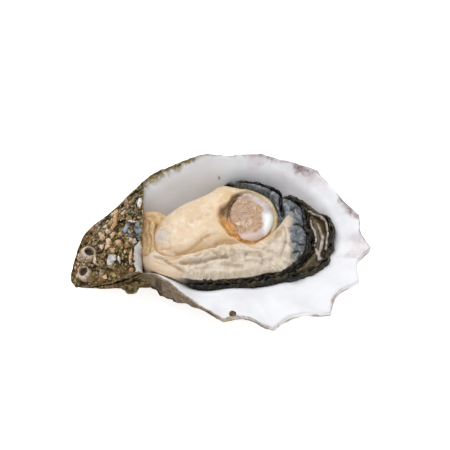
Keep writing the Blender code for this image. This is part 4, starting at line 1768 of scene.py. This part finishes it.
@dataclass(frozen=True)
class Ruffle:
    """A rounded, ruffled roll of flesh that stands along a line."""

    name: str
    kind: Kind
    trail: Trail
    foot: float
    height: float
    thick: float = 1.3
    swing: float = 0.22
    wave: float = 6.5
    lean: float = -0.3
    lumps: float = 0.3
    taper: float = 0.06
    begin: float = 0.06
    warm: float = 0.9
    seed: int = 1
    nodes: tuple[str, ...] = ()

    def build(self) -> Piece:
        """Models and dresses the roll.

        Returns:
            The piece.
        """
        clay = Clay.slab(self.name, 420, 14, sides=4)
        along, up, through = clay.read().T
        length = np.linalg.norm(np.diff(self.trail.places, axis=0), axis=1).sum()
        run = stack(along * length, self.seed, 0.0)
        swing = np.sin(run[:, 0] * 2 * math.pi / self.wave + 3.0 * grain(run, 4.0, 2, self.seed))
        swing = self.swing * swing + 0.6 * self.swing * grain(run, 4.0, 2, self.seed + 5)
        ends = np.sqrt(np.clip(rise(0.0, self.begin, along) * rise(0.0, self.taper, 1.0 - along), 0.0, 1.0))
        tall = self.height * (1.0 + 0.35 * grain(run, 2.6, 3, self.seed + 9)) * (0.3 + 0.7 * ends)
        thick = self.thick * (1.0 + 0.4 * grain(run, 2.2, 2, self.seed + 2)) * (0.2 + 0.8 * ends)
        round_top = np.sqrt(np.clip(1.0 - np.clip(up, 0.0, 1.0) ** 4, 0.02, 1.0))
        aside = self.lean * up + swing * up + (through - 0.5) * thick * round_top
        clay.write(raised(self.trail.beside(along, aside), self.foot + tall * up))
        clay.outward()
        around = clay.places()
        clay.swell(self.lumps * grain(around, 1.3, 2, self.seed + 3))
        clay.mark("tip", rise(0.5, 0.9, up + 0.25 * grain(around, 1.4, 2, self.seed + 4)))
        clay.mark("warm", self.warm * rise(-0.6, 0.2, grain(around, 4.0, 2, self.seed + 6)))
        return clay.dress(self.kind.value, "olive", *self.nodes)


@dataclass
class Gills:
    """The dark ridged band outside the mantle at the right."""

    cup: Cup
    mantle: Mantle
    start: float = 26.0
    end: float = -52.0
    reach: Track = track(
        (30, 29), (20, 32.4), (10, 36.8), (4, 40.2), (-4, 42.6), (-14, 42.8), (-20, 42.4), (-29, 40.2),
        (-37, 35.4), (-46, 32), (-54, 29.6),
        closed=False,
    )

    def build(self) -> Piece:
        """Models and dresses the gills.

        Returns:
            The piece.
        """
        clay = Clay.slab("flesh_gills", 260, 70)
        along, across, _ = clay.read().T
        bearing = self.start + (self.end - self.start) * along
        inner = self.mantle.reach.at(bearing) - 1.2
        outer = np.maximum(self.reach.at(bearing), inner + 0.5)
        plan = on_bearing(inner + (outer - inner) * across, bearing, self.mantle.body.middle)
        ridge = np.sin(across * 2 * math.pi * 2.2 + 1.6 * grain(plan, 5.0, 2, 71))
        over = 17.5 - 0.3 * across + 0.25 * ridge + 0.3 * grain(plan, 2.0, 3, 72)
        over -= 1.4 * (2 * across - 1) ** 12 + 1.2 * (2 * along - 1) ** 12
        clay.settle(plan, over, self.cup.bed(plan, over))
        clay.mark("crest", np.clip(ridge * 0.5 + 0.5, 0, 1))
        return clay.dress(Olive(), "olive", "gills")


def ruffles() -> tuple[Ruffle, ...]:
    """Lays out the ruffled rolls of the mantle and the gills.

    Returns:
        The rolls, from the inside out.
    """
    back = trail(
        (0.2, 22.0), (2.6, 22.9), (6.8, 23.5), (11.9, 23.3), (16.5, 22.0), (20.2, 19.9), (22.5, 17.6),
    )
    inward = trail((22.3, 17.6), (21.8, 15.4), (21.8, 12.6))
    right = trail(
        (22.0, 16.6), (26.0, 17.0), (28.3, 14.8), (30.0, 11.8), (30.5, 8.6), (30.4, 5.6), (32.0, 2.6),
        (32.3, -1.6), (31.6, -5.2), (28.6, -8.6), (26.2, -11.2), (22.4, -14.0),
    )
    front = trail(
        (26.6, -10.2), (23.4, -13.6), (17.8, -15.6), (11.9, -16.8), (6.0, -17.6), (0.4, -17.9),
        (-5.8, -17.7), (-11.9, -16.6),
    )
    outer = trail(
        (26.6, 17.2), (29.4, 16.4), (32.0, 13.6), (34.8, 11.2), (38.4, 9.6), (40.0, 7.2), (40.6, 4.4),
        (40.0, 0.4), (40.1, -2.6), (38.6, -4.6), (38.8, -7.4), (37.2, -10.0), (33.6, -12.6),
        (28.4, -14.6), (23.0, -16.0),
    )
    bottom = trail((37.0, -9.4), (33.0, -11.8), (28.6, -13.4), (22.6, -15.0), (16.0, -16.4))
    fourth = trail(
        (30.6, 12.4), (32.8, 11.0), (36.2, 9.4), (38.2, 6.4), (38.6, 2.6), (38.4, -1.6), (37.4, -4.6),
    )
    second = trail((34.6, 7.4), (36.0, 4.0), (36.7, 0.6), (36.3, -3.2), (35.4, -6.0), (36.0, -8.6))
    first = trail((32.4, 8.8), (32.9, 6.2), (34.0, 3.4), (34.5, 0.4), (33.8, -2.8))
    dark, pale = Kind.DARK, Kind.PALE
    near, far = front.shifted(-0.6, Cup.middle), front.shifted(0.5, Cup.middle)
    beside, inside = right.shifted(1.2, Cup.middle), outer.shifted(-1.2, Cup.middle)
    low = trail((34.0, -3.4), (35.0, -5.8), (35.8, -8.4))
    return (
        Ruffle("frill_back", dark, back, 16.6, 2.6, 1.2, lean=0.2, begin=0.3, warm=0.3, seed=101),
        Ruffle("frill_inward", dark, inward, 17.6, 2.2, 0.9, warm=0.1, seed=106),
        Ruffle("frill_right_1", dark, right, 16.8, 3.0, 1.5, swing=0.45, warm=0.15, seed=111),
        Ruffle("frill_right_2", dark, beside, 16.4, 2.2, 0.9, 0.45, 3.8, warm=0.4, seed=121),
        Ruffle("frill_front_1", dark, near, 15.8, 2.6, 1.0, swing=0.35, wave=3.0, taper=0.16, seed=131),
        Ruffle("frill_front_2", dark, far, 14.8, 2.3, 1.5, swing=0.3, wave=3.6, taper=0.22, seed=141),
        Ruffle("crest_first", pale, first, 16.8, 1.8, 1.1, swing=0.15, seed=151, lumps=0.12),
        Ruffle("crest_second", pale, second, 16.6, 2.0, 1.3, swing=0.15, seed=161, lumps=0.15),
        Ruffle("crest_low", pale, low, 16.6, 1.7, 1.5, seed=166, lumps=0.2),
        Ruffle("crest_edge", pale, fourth, 16.6, 2.3, 1.1, swing=0.2, seed=171, lumps=0.15),
        Ruffle("frill_outer_1", dark, outer, 15.8, 2.5, 1.4, swing=0.4, seed=181),
        Ruffle("frill_outer_2", dark, inside, 16.2, 2.1, 0.8, swing=0.4, wave=4.0, seed=191),
        Ruffle("frill_bottom", dark, bottom, 15.4, 2.2, 1.4, swing=0.3, lumps=0.45, seed=196),
    )


# ------------------------------------------------------------------ the hinge end
@dataclass
class Crust:
    """The encrusted hinge end: a lumpy mass with stones, chips and strips on it."""

    cup: Cup
    face: float = -28.2
    tip: float = -52.6
    # share of the way from the face to the tip, front edge, back edge
    edges: Track = track(
        (0, -13.6, 21), (0.2, -13.9, 16.8), (0.45, -13.9, 12.2), (0.62, -13.8, 9.6), (0.76, -13.4, 6),
        (0.88, -12.8, 1.4), (1, -12.8, -7),
        closed=False,
    )

    def crown(self, share: Array, across: Array) -> Array:
        """Returns the height of the plain upper side."""
        ridge = 26.0 - 14.0 * share**1.6
        return ridge - 7.0 * np.abs(2 * across - 1) ** 3 - 3.0 * rise(0.85, 1.0, share)

    def build(self) -> tuple[bpy.types.Object, Array, Array]:
        """Models and dresses the mass.

        Returns:
            The piece, and the places and normals of its upper side.
        """
        clay = Clay.slab("crust_mass", 200, 180, sides=24)
        along, across, up = clay.read().T
        front, back = self.edges.at(along, 1), self.edges.at(along, 2)
        x = self.face + (self.tip - self.face) * along
        y = front + (back - front) * across
        notch = rise(-2.6, -4.6, y)
        x = x - 2.9 * notch * rise(0.5, 1.0, up) * (1.0 - along) ** 2
        y = y - 1.7 * (1.0 - up) * rise(0.08, 0.0, across) * rise(0.0, 0.1, along)
        x = x - 0.5 * (1.0 - along) ** 4 * grain(stack(0.0, y, 0.0), 3.0, 3, 84)
        plan = stack(x, y, 0.0)
        under = self.cup.over(plan, 0.2) - 0.5 * rise(0.10, 0.03, across)
        over = self.crown(along, across) - 4.0 * notch * (1.0 - along) ** 6
        over = np.maximum(over, under + 1.0)
        clay.write(raised(plan, under + (over - under) * up))
        clay.outward()
        points, normals = clay.places(), clay.normals()
        wall = (along < 0.002) & (up < 0.97)
        lumps, tint = pebbles(points + 0.8 * grain(points, 2.0, 2, 85)[:, None], 3.4, 81)
        small, tone = pebbles(points + 0.4 * grain(points, 1.0, 2, 86)[:, None], 1.2, 82)
        calm = (1.0 - 0.7 * rise(-30.4, -29.0, points[:, 0])) * np.where(wall, 0.1, 1.0)
        ridged = 0.5 - np.abs(grain(points, 2.2, 2, 87)) * 2.0
        swell = 1.3 * (0.45 - lumps) + 0.45 * (0.45 - small) + 0.7 * grain(points, 6.0, 2, 83)
        clay.swell((swell + 0.5 * ridged) * 0.85 * calm)
        fair = 0.25 * rise(-36.0, -46.0, points[:, 0]) + 0.15 * rise(0.0, 6.0, points[:, 1])
        clay.mark("tint", 0.08 + 0.35 * tint + 0.42 * tone + fair)
        # Painted light: the pearl strip on the face wall is coloured brighter than the nacre, against its
        # shade.
        clay.mark("pearl", wall * rise(0.2, 0.6, notch))
        # Painted shadow in the hollow by the palps; towards the front, darker on some small cells.
        hole = np.exp(-(((points[:, 0] + 31.0) / 1.7) ** 2) - ((points[:, 1] - 9.8) / 4.5) ** 2)
        front = rise(-48.0, -38.0, points[:, 0]) * rise(-4.0, -9.0, points[:, 1])
        hole += 0.7 * front * rise(0.2, 0.5, tone)
        # Painted shade: the gap mask darkens the gaps between the lumps and the foot of the front wall.
        gap = rise(0.42, 0.72, lumps) * 0.85 + rise(0.40, 0.70, small) * 0.8 + 0.8 * hole
        foot = 0.55 * rise(0.06, 0.01, across) * rise(0.9, 0.4, up)
        clay.mark("gap", ~wall * (np.clip(gap, 0.0, 0.95) * rise(-0.02, 0.10, across) + foot))
        for name in ("clean", "green", "steel"):
            clay.mark(name, tone * 0.0)
        upper = (up > 0.99) | ((up > 0.4) & (across < 0.05)) | ((up > 0.3) & (along > 0.97))
        return clay.dress(Growth(), "growth", "hinge_crust"), points[upper], normals[upper]


# stones: their places, the directions they lie against and point to, half sizes and looks, as rows
Heap = tuple[Array, Array, Array, Array, Array]


@dataclass(frozen=True)
class Chip:
    """A flake on the crust: its place, half sizes, bearing, tint, lift off it, and how steely and green."""

    place: Place
    long: float
    wide: float
    bearing: float
    tint: float
    lift: float = 0.0
    steel: float = 0.0
    green: float = 0.0


@dataclass
class Rubble:
    """The stones, grit and chips strewn over the crust and the beak, as one piece."""

    grit: int = 1000
    lumps: int = 110
    rosy: tuple[float, float, float] = (-39.4, -3.0, 4.6)
    chips: tuple[Chip, ...] = (
        Chip((-38.6, -9.6), 1.9, 1.5, 70, 1.0, 0.5, 0.25), Chip((-36.5, -9.8), 1.6, 0.5, 110, 1.0, 0.6),
        Chip((-45.0, -8.2), 1.5, 0.8, 80, 0.93, 0.5), Chip((-29.0, 11.0), 2.4, 0.8, 88, 1.0, 0.5),
        Chip((-30.2, 15.7), 1.1, 0.7, 60, 0.05, 0, 0.3, 0.7),
        Chip((-31.2, 13.4), 0.9, 0.5, 90, 0.05, 0, 0.2, 0.6), Chip((-29.3, 6.4), 1.5, 0.8, 84, 0.0, 0.3),
        Chip((-30.8, 10.4), 2.6, 0.6, 86, 0.0), Chip((-29.6, -0.4), 2.7, 0.9, 92, 0.5, 0.5, 1.0),
        Chip((-31.9, 3.0), 1.6, 0.5, 165, 0.98, 0.5, 0.2), Chip((-34.2, 0.4), 2.0, 0.8, 60, 0.6, 0.3, 0.9),
        Chip((-32.4, -1.8), 1.4, 0.6, 120, 0.5, 0.3, 0.9),
        Chip((-30.9, -3.6), 0.9, 0.8, 20, 0.95, 0.3, 0.2), Chip((-32.2, -3.4), 0.8, 0.7, 50, 0.86, 0.3),
        Chip((-32.6, -8.0), 2.7, 0.55, 90, 0.78, 0.4), Chip((-32.4, -12.4), 1.5, 0.8, 96, 0.68, 0.4),
        Chip((-37.2, 6.6), 2.2, 0.9, 80, 0.72, 0.4), Chip((-38.2, 2.8), 1.5, 1.0, 60, 0.66, 0.4),
        Chip((-34.3, 15.2), 1.5, 0.6, 70, 0.86, 0.3), Chip((-38.4, 10.4), 1.3, 0.6, 30, 0.84, 0.2),
        Chip((-42.2, -0.6), 1.2, 1.0, 20, 0.84, 0.4), Chip((-40.2, 1.0), 1.1, 0.9, 60, 0.88, 0.4),
        Chip((-39.9, -3.1), 1.3, 1.1, 100, 0.84, 0.4), Chip((-38.2, -0.6), 1.2, 0.9, 40, 0.80, 0.4),
        Chip((-40.2, -5.2), 1.2, 0.9, 10, 0.83, 0.3), Chip((-36.8, -4.4), 1.3, 1.0, 130, 0.74, 0.4),
        Chip((-36.2, -1.6), 1.2, 0.9, 70, 0.70, 0.3), Chip((-38.6, -6.8), 1.1, 0.8, 0, 0.78, 0.2),
        Chip((-42.6, -4.2), 1.0, 0.9, 80, 0.85, 0.3),
    )

    # place, radius and tint of the knobs under the hinge end and on the lip
    knobs: tuple[tuple[tuple[float, float, float], float, float], ...] = (
        ((-32.4, -15.2, 10.2), 2.5, 0.25), ((-34.4, -14.9, 10.6), 1.9, 0.45),
        ((-30.7, -15.0, 12.4), 1.7, 0.3), ((4.0, -30.1, 17.6), 1.3, 0.15),
    )

    def build(self, points: Array, normals: Array) -> Piece:
        """Strews the rubble.

        Args:
            points: places where it may lie, in mm.
            normals: the outward directions there.

        Returns:
            The piece.
        """
        dice = np.random.default_rng(5)
        heaps = (self._strewn(points, normals, dice), self._laid(points, normals, dice), self._stuck())
        return self._shape(*(np.concatenate(parts) for parts in zip(*heaps)))

    def _strewn(self, points: Array, normals: Array, dice: np.random.Generator) -> Heap:
        """Strews the grit and the lumps.

        Args:
            points: places where they may lie.
            normals: the outward directions there.
            dice: draws what is left to chance.

        Returns:
            The heap.
        """
        total = self.grit + self.lumps
        picked = dice.choice(len(points), total, replace=False)
        middle, out = points[picked], normals[picked] + 0.4 * dice.normal(size=(total, 3))
        rosy = np.exp(-(((middle[:, :2] - self.rosy[:2]) / self.rosy[2]) ** 2).sum(axis=1))
        edge = np.clip(normals[picked] @ np.array((0.0, -0.5, 0.87)), 0.25, 1.0)
        small = 0.22 + 0.42 * dice.random(self.grit) ** 1.8
        large = 0.6 + 0.6 * dice.random(self.lumps) ** 2
        half = np.concatenate([small, large]) * edge
        long = half * (1.0 + 0.7 * dice.random(total) ** 2)
        size = stack(long, half, half * (0.5 + 0.4 * dice.random(total)))
        aim = dice.normal(size=(total, 3))
        tint = dice.random(total) ** (1.5 - 0.9 * rosy) * (0.92 - 0.05 * rosy)
        steel = (dice.random(total) > 0.6) * (middle[:, 0] > -33.5) * (middle[:, 1] > -4.0) * 0.8
        green = (dice.random(total) > 0.97) * 0.6
        clean = 0.7 * dice.random(total) + 0.3 * rosy
        return middle, out, aim, size, stack(tint, steel, green, clean)

    def _laid(self, points: Array, normals: Array, dice: np.random.Generator) -> Heap:
        """Lays the chips.

        Args:
            points: places where they may lie, each chip going to the nearest and highest.
            normals: the outward directions there.
            dice: draws how they tilt.

        Returns:
            The heap.
        """
        chips = self.chips
        gaps = [((points[:, :2] - chip.place) ** 2).sum(axis=1) for chip in chips]
        near = [int(np.argmin(gap - 0.02 * points[:, 2])) for gap in gaps]
        out = normals[near] * (1.0, 1.0, 1.4) + 0.25 * dice.normal(size=(len(chips), 3))
        middle = points[near] + np.array([chip.lift for chip in chips])[:, None] * normals[near]
        turn = np.radians([chip.bearing for chip in chips])
        size = np.array([(chip.long, chip.wide, 0.45 * chip.wide + 0.2) for chip in chips])
        looks = np.array([(chip.tint, chip.steel, chip.green, 1.0) for chip in chips])
        return middle, out, stack(np.cos(turn), np.sin(turn), 0.0), size, looks

    def _stuck(self) -> Heap:
        """Sticks the knobs on.

        Returns:
            The heap.
        """
        middle, radius, tint = zip(*self.knobs)
        out, aim = (np.tile(way, (len(middle), 1)) for way in ((0.0, -0.6, 0.8), (1.0, 0.2, 0.0)))
        return np.array(middle), out, aim, np.outer(radius, (1.1, 0.95, 0.7)), stack(tint, 0.0, 0.0, 0.0)

    @staticmethod
    def beak(points: Array, normals: Array, middle: Place) -> Array:
        """Finds where the shell's outside, round the hinge end, may carry stones.

        Args:
            points: places on the shell.
            normals: the outward directions there.
            middle: the cup's middle.

        Returns:
            Which places may, from left to right, as the mesh's own order varies.
        """
        _, bearing = polar(points, middle)
        low = (points[:, 0] < -31.0) & (points[:, 2] > 1.5) & (normals[:, 2] < 0.6)
        found = np.flatnonzero(low & (points[:, 1] < 16.0) & (np.abs(turn_gap(bearing, 189.0)) < 21.0))
        return found[np.argsort(points[found, 0])]

    def _shape(self, middle: Array, out: Array, aim: Array, size: Array, looks: Array) -> Piece:
        """Turns one ball into every stone.

        Args:
            middle: the stones' places.
            out: the directions they lie flat against.
            aim: the directions their long sides follow.
            size: their three half sizes.
            looks: their tint, and how steely, green and clean they are.

        Returns:
            The piece.
        """
        count = len(middle)
        out = out / np.linalg.norm(out, axis=1)[:, None]
        side = aim - (aim * out).sum(axis=1)[:, None] * out
        side /= np.linalg.norm(side, axis=1)[:, None]
        third = np.cross(out, side)
        deselect()
        bpy.ops.mesh.primitive_ico_sphere_add(subdivisions=2, radius=1.0)
        clay = Clay("crust_rubble")
        one = clay.read()
        clay.open()
        for _ in range(math.ceil(math.log2(count))):
            bpy.ops.mesh.select_all(action="SELECT")
            bpy.ops.mesh.duplicate()
        clay.trim(count * len(one))
        ball = np.tile(one, (count, 1))
        own = np.repeat(np.arange(count), len(one))
        rough = (0.4 + 0.7 * looks[own, 3]) * grain(ball + own[:, None] * 3.7, 0.9, 2, 91)
        shape = ball * (1.0 + rough[:, None]) * size[own]
        shape[:, 2] += 0.35 * size[own, 1]
        ways = zip(shape.T, (side, third, out))
        clay.write(middle[own] + sum(reach[:, None] * way[own] for reach, way in ways))
        clay.outward()
        for name, values in zip(("tint", "steel", "green", "clean"), looks.T):
            clay.mark(name, values[own])
        # Painted shade: each stone's underside is darkened through the gap mask; the knobs are a darker
        # brown.
        soiled = 0.5 * (own >= count - len(self.knobs))
        clay.mark("gap", np.maximum(0.7 * rise(0.3, -0.5, ball[:, 2]), soiled))
        return clay.dress(Growth(), "growth")


@dataclass(frozen=True)
class Barnacle:
    """A barnacle: ribbed plates round a crater."""

    name: str
    nodes: tuple[str, ...]
    middle: tuple[float, float, float]
    normal: tuple[float, float, float]
    radius: float
    height: float
    seed: int

    def build(self) -> Piece:
        """Models and dresses the barnacle.

        Returns:
            The piece.
        """
        clay = Clay.ball(self.name, 96, 80)
        level, bearing, side = clay.globe()
        turn = np.radians(bearing)
        ring = on_bearing(1.0, bearing) + (0.0, 0.0, self.seed)
        plates = np.abs(np.sin(turn * 3.0 + 0.8 * grain(ring, 0.8, 2, self.seed)))
        groove = rise(0.30, 0.05, plates)
        mouth = 0.64 + 0.05 * grain(ring, 0.6, 2, self.seed + 1)
        top = side > 0
        crater = rise(0.55, 0.44, level) * top
        flank = np.where(top, np.clip((level - 0.55) / 0.45, 0.0, 1.0), 1.0)
        reach = np.where(top & (level < 0.55), mouth * level / 0.55, mouth + (1.0 - mouth) * flank**0.8)
        reach = np.where(top, reach, level * 1.02)
        height = np.where(top, 1.0 - flank**1.3, -0.1)
        height = height - 0.75 * crater
        ribs = 0.05 * np.sin(turn * 19.0 + 2.0 * grain(ring, 0.7, 2, self.seed + 2)) * rise(0.0, 0.3, flank)
        reach = reach * (1.0 + ribs * top - 0.07 * groove * rise(0.4, 0.7, level) * top)
        reach = reach * (1.0 + 0.10 * grain(ring, 1.0, 2, self.seed + 4))
        height = height + 0.10 * grain(ring, 0.7, 2, self.seed + 3) * rise(1.0, 0.4, flank) * (1.0 - crater)
        out = np.array(self.normal) / np.linalg.norm(self.normal)
        first = np.cross(out, (0.0, 1.0, 0.0))
        first /= np.linalg.norm(first)
        axes = np.array((first, np.cross(out, first), out))
        shape = raised(on_bearing(reach * self.radius, bearing), height * self.height)
        clay.write(self.middle + shape @ axes)
        clay.outward()
        clay.mark("mouth", rise(0.53, 0.45, level) * top)
        clay.mark("groove", 0.8 * groove * top * rise(0.5, 0.7, level))
        clay.mark("foot", np.where(top, rise(0.25, 0.95, flank), 1.0))
        return clay.dress(Lime(), "lime", *self.nodes)


def barnacles() -> tuple[Barnacle, ...]:
    """Returns the barnacles on the crust."""
    return (
        Barnacle("barnacle_upper", ("barnacle_1",), (-47.9, -5.9, 17.2), (0.25, 0.1, 0.95), 3.1, 2.6, 201),
        Barnacle(
            "barnacle_lower", ("barnacle_2",), (-48.7, -11.1, 13.2), (-0.36, -0.05, 0.93), 2.9, 2.4, 221
        ),
        Barnacle("barnacle_tiny", (), (-44.0, -9.0, 17.4), (-0.1, -0.35, 0.9), 1.2, 1.1, 241),
    )


# ------------------------------------------------------------------ stage
@dataclass
class Studio:
    """The floor, the lights and the camera."""

    elevation: float = 60.0
    lens: float = 300.0
    distance: float = 1.35
    target: tuple[float, float, float] = (0.00144, 0.00538, 0.0207)
    sky: float = 0.74
    key_place: tuple[float, float, float] = (-0.16, 0.28, 0.60)
    key_size: float = 0.5
    key_energy: float = 2.1

    def floor(self) -> Piece:
        """Adds the floor.

        Returns:
            The floor.
        """
        deselect()
        bpy.ops.mesh.primitive_plane_add(size=4.0, location=(0.0, 0.0, -0.0003))
        floor = bpy.context.active_object
        floor.name = "studio_floor"
        floor.data.materials.append(White().material())
        return floor

    def lights(self) -> None:
        """Adds a soft key from behind and above, and an even sky."""
        world = bpy.data.worlds.new("sky")
        bpy.context.scene.world = world
        world.use_nodes = True
        back = world.node_tree.nodes["Background"]
        Graph(world.node_tree).fill(back, {"Color": (1.0, 1.0, 1.0), "Strength": self.sky})
        deselect()
        bpy.ops.object.light_add(type="AREA", location=self.key_place)
        key = bpy.context.active_object
        key.name = "key"
        key.data.size = self.key_size
        key.data.energy = self.key_energy
        self._aim(key)

    def _aim(self, thing: bpy.types.Object) -> None:
        """Turns a light or a camera to look at the target."""
        way = Vector(self.target) - thing.location
        thing.rotation_euler = way.to_track_quat("-Z", "Y").to_euler()

    def camera(self) -> None:
        """Adds the camera."""
        turn = math.radians(self.elevation)
        place = Vector(self.target) + self.distance * Vector((0.0, -math.cos(turn), math.sin(turn)))
        deselect()
        bpy.ops.object.camera_add(location=place)
        camera = bpy.context.active_object
        camera.data.lens = self.lens
        self._aim(camera)
        bpy.context.scene.camera = camera


def main() -> None:
    """Builds every piece and the studio, and reports each piece."""
    logging.basicConfig(level=logging.INFO, format="%(message)s")
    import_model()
    cup = Cup()
    shell = Shell(cup).build()
    mass, places, normals = Crust(cup).build()
    clay = Clay.of(shell)
    spots, ways = clay.places(), clay.normals()
    beak = Rubble.beak(spots, ways, cup.middle)
    rubble = Rubble().build(np.concatenate([places, spots[beak]]), np.concatenate([normals, ways[beak]]))
    body = Body(cup)
    mantle = Mantle(cup, body)
    makers = (*barnacles(), body, Muscle(cup), *palps(cup), mantle, Gills(cup, mantle), *ruffles())
    for piece in (shell, mass, rubble, *(maker.build() for maker in makers)):
        LOG.info("%s: %d vertices", piece.name, len(piece.data.vertices))
    studio = Studio()
    studio.floor()
    studio.lights()
    studio.camera()
    bpy.context.scene.view_settings.view_transform = "Standard"


if __name__ == "__main__":
    main()
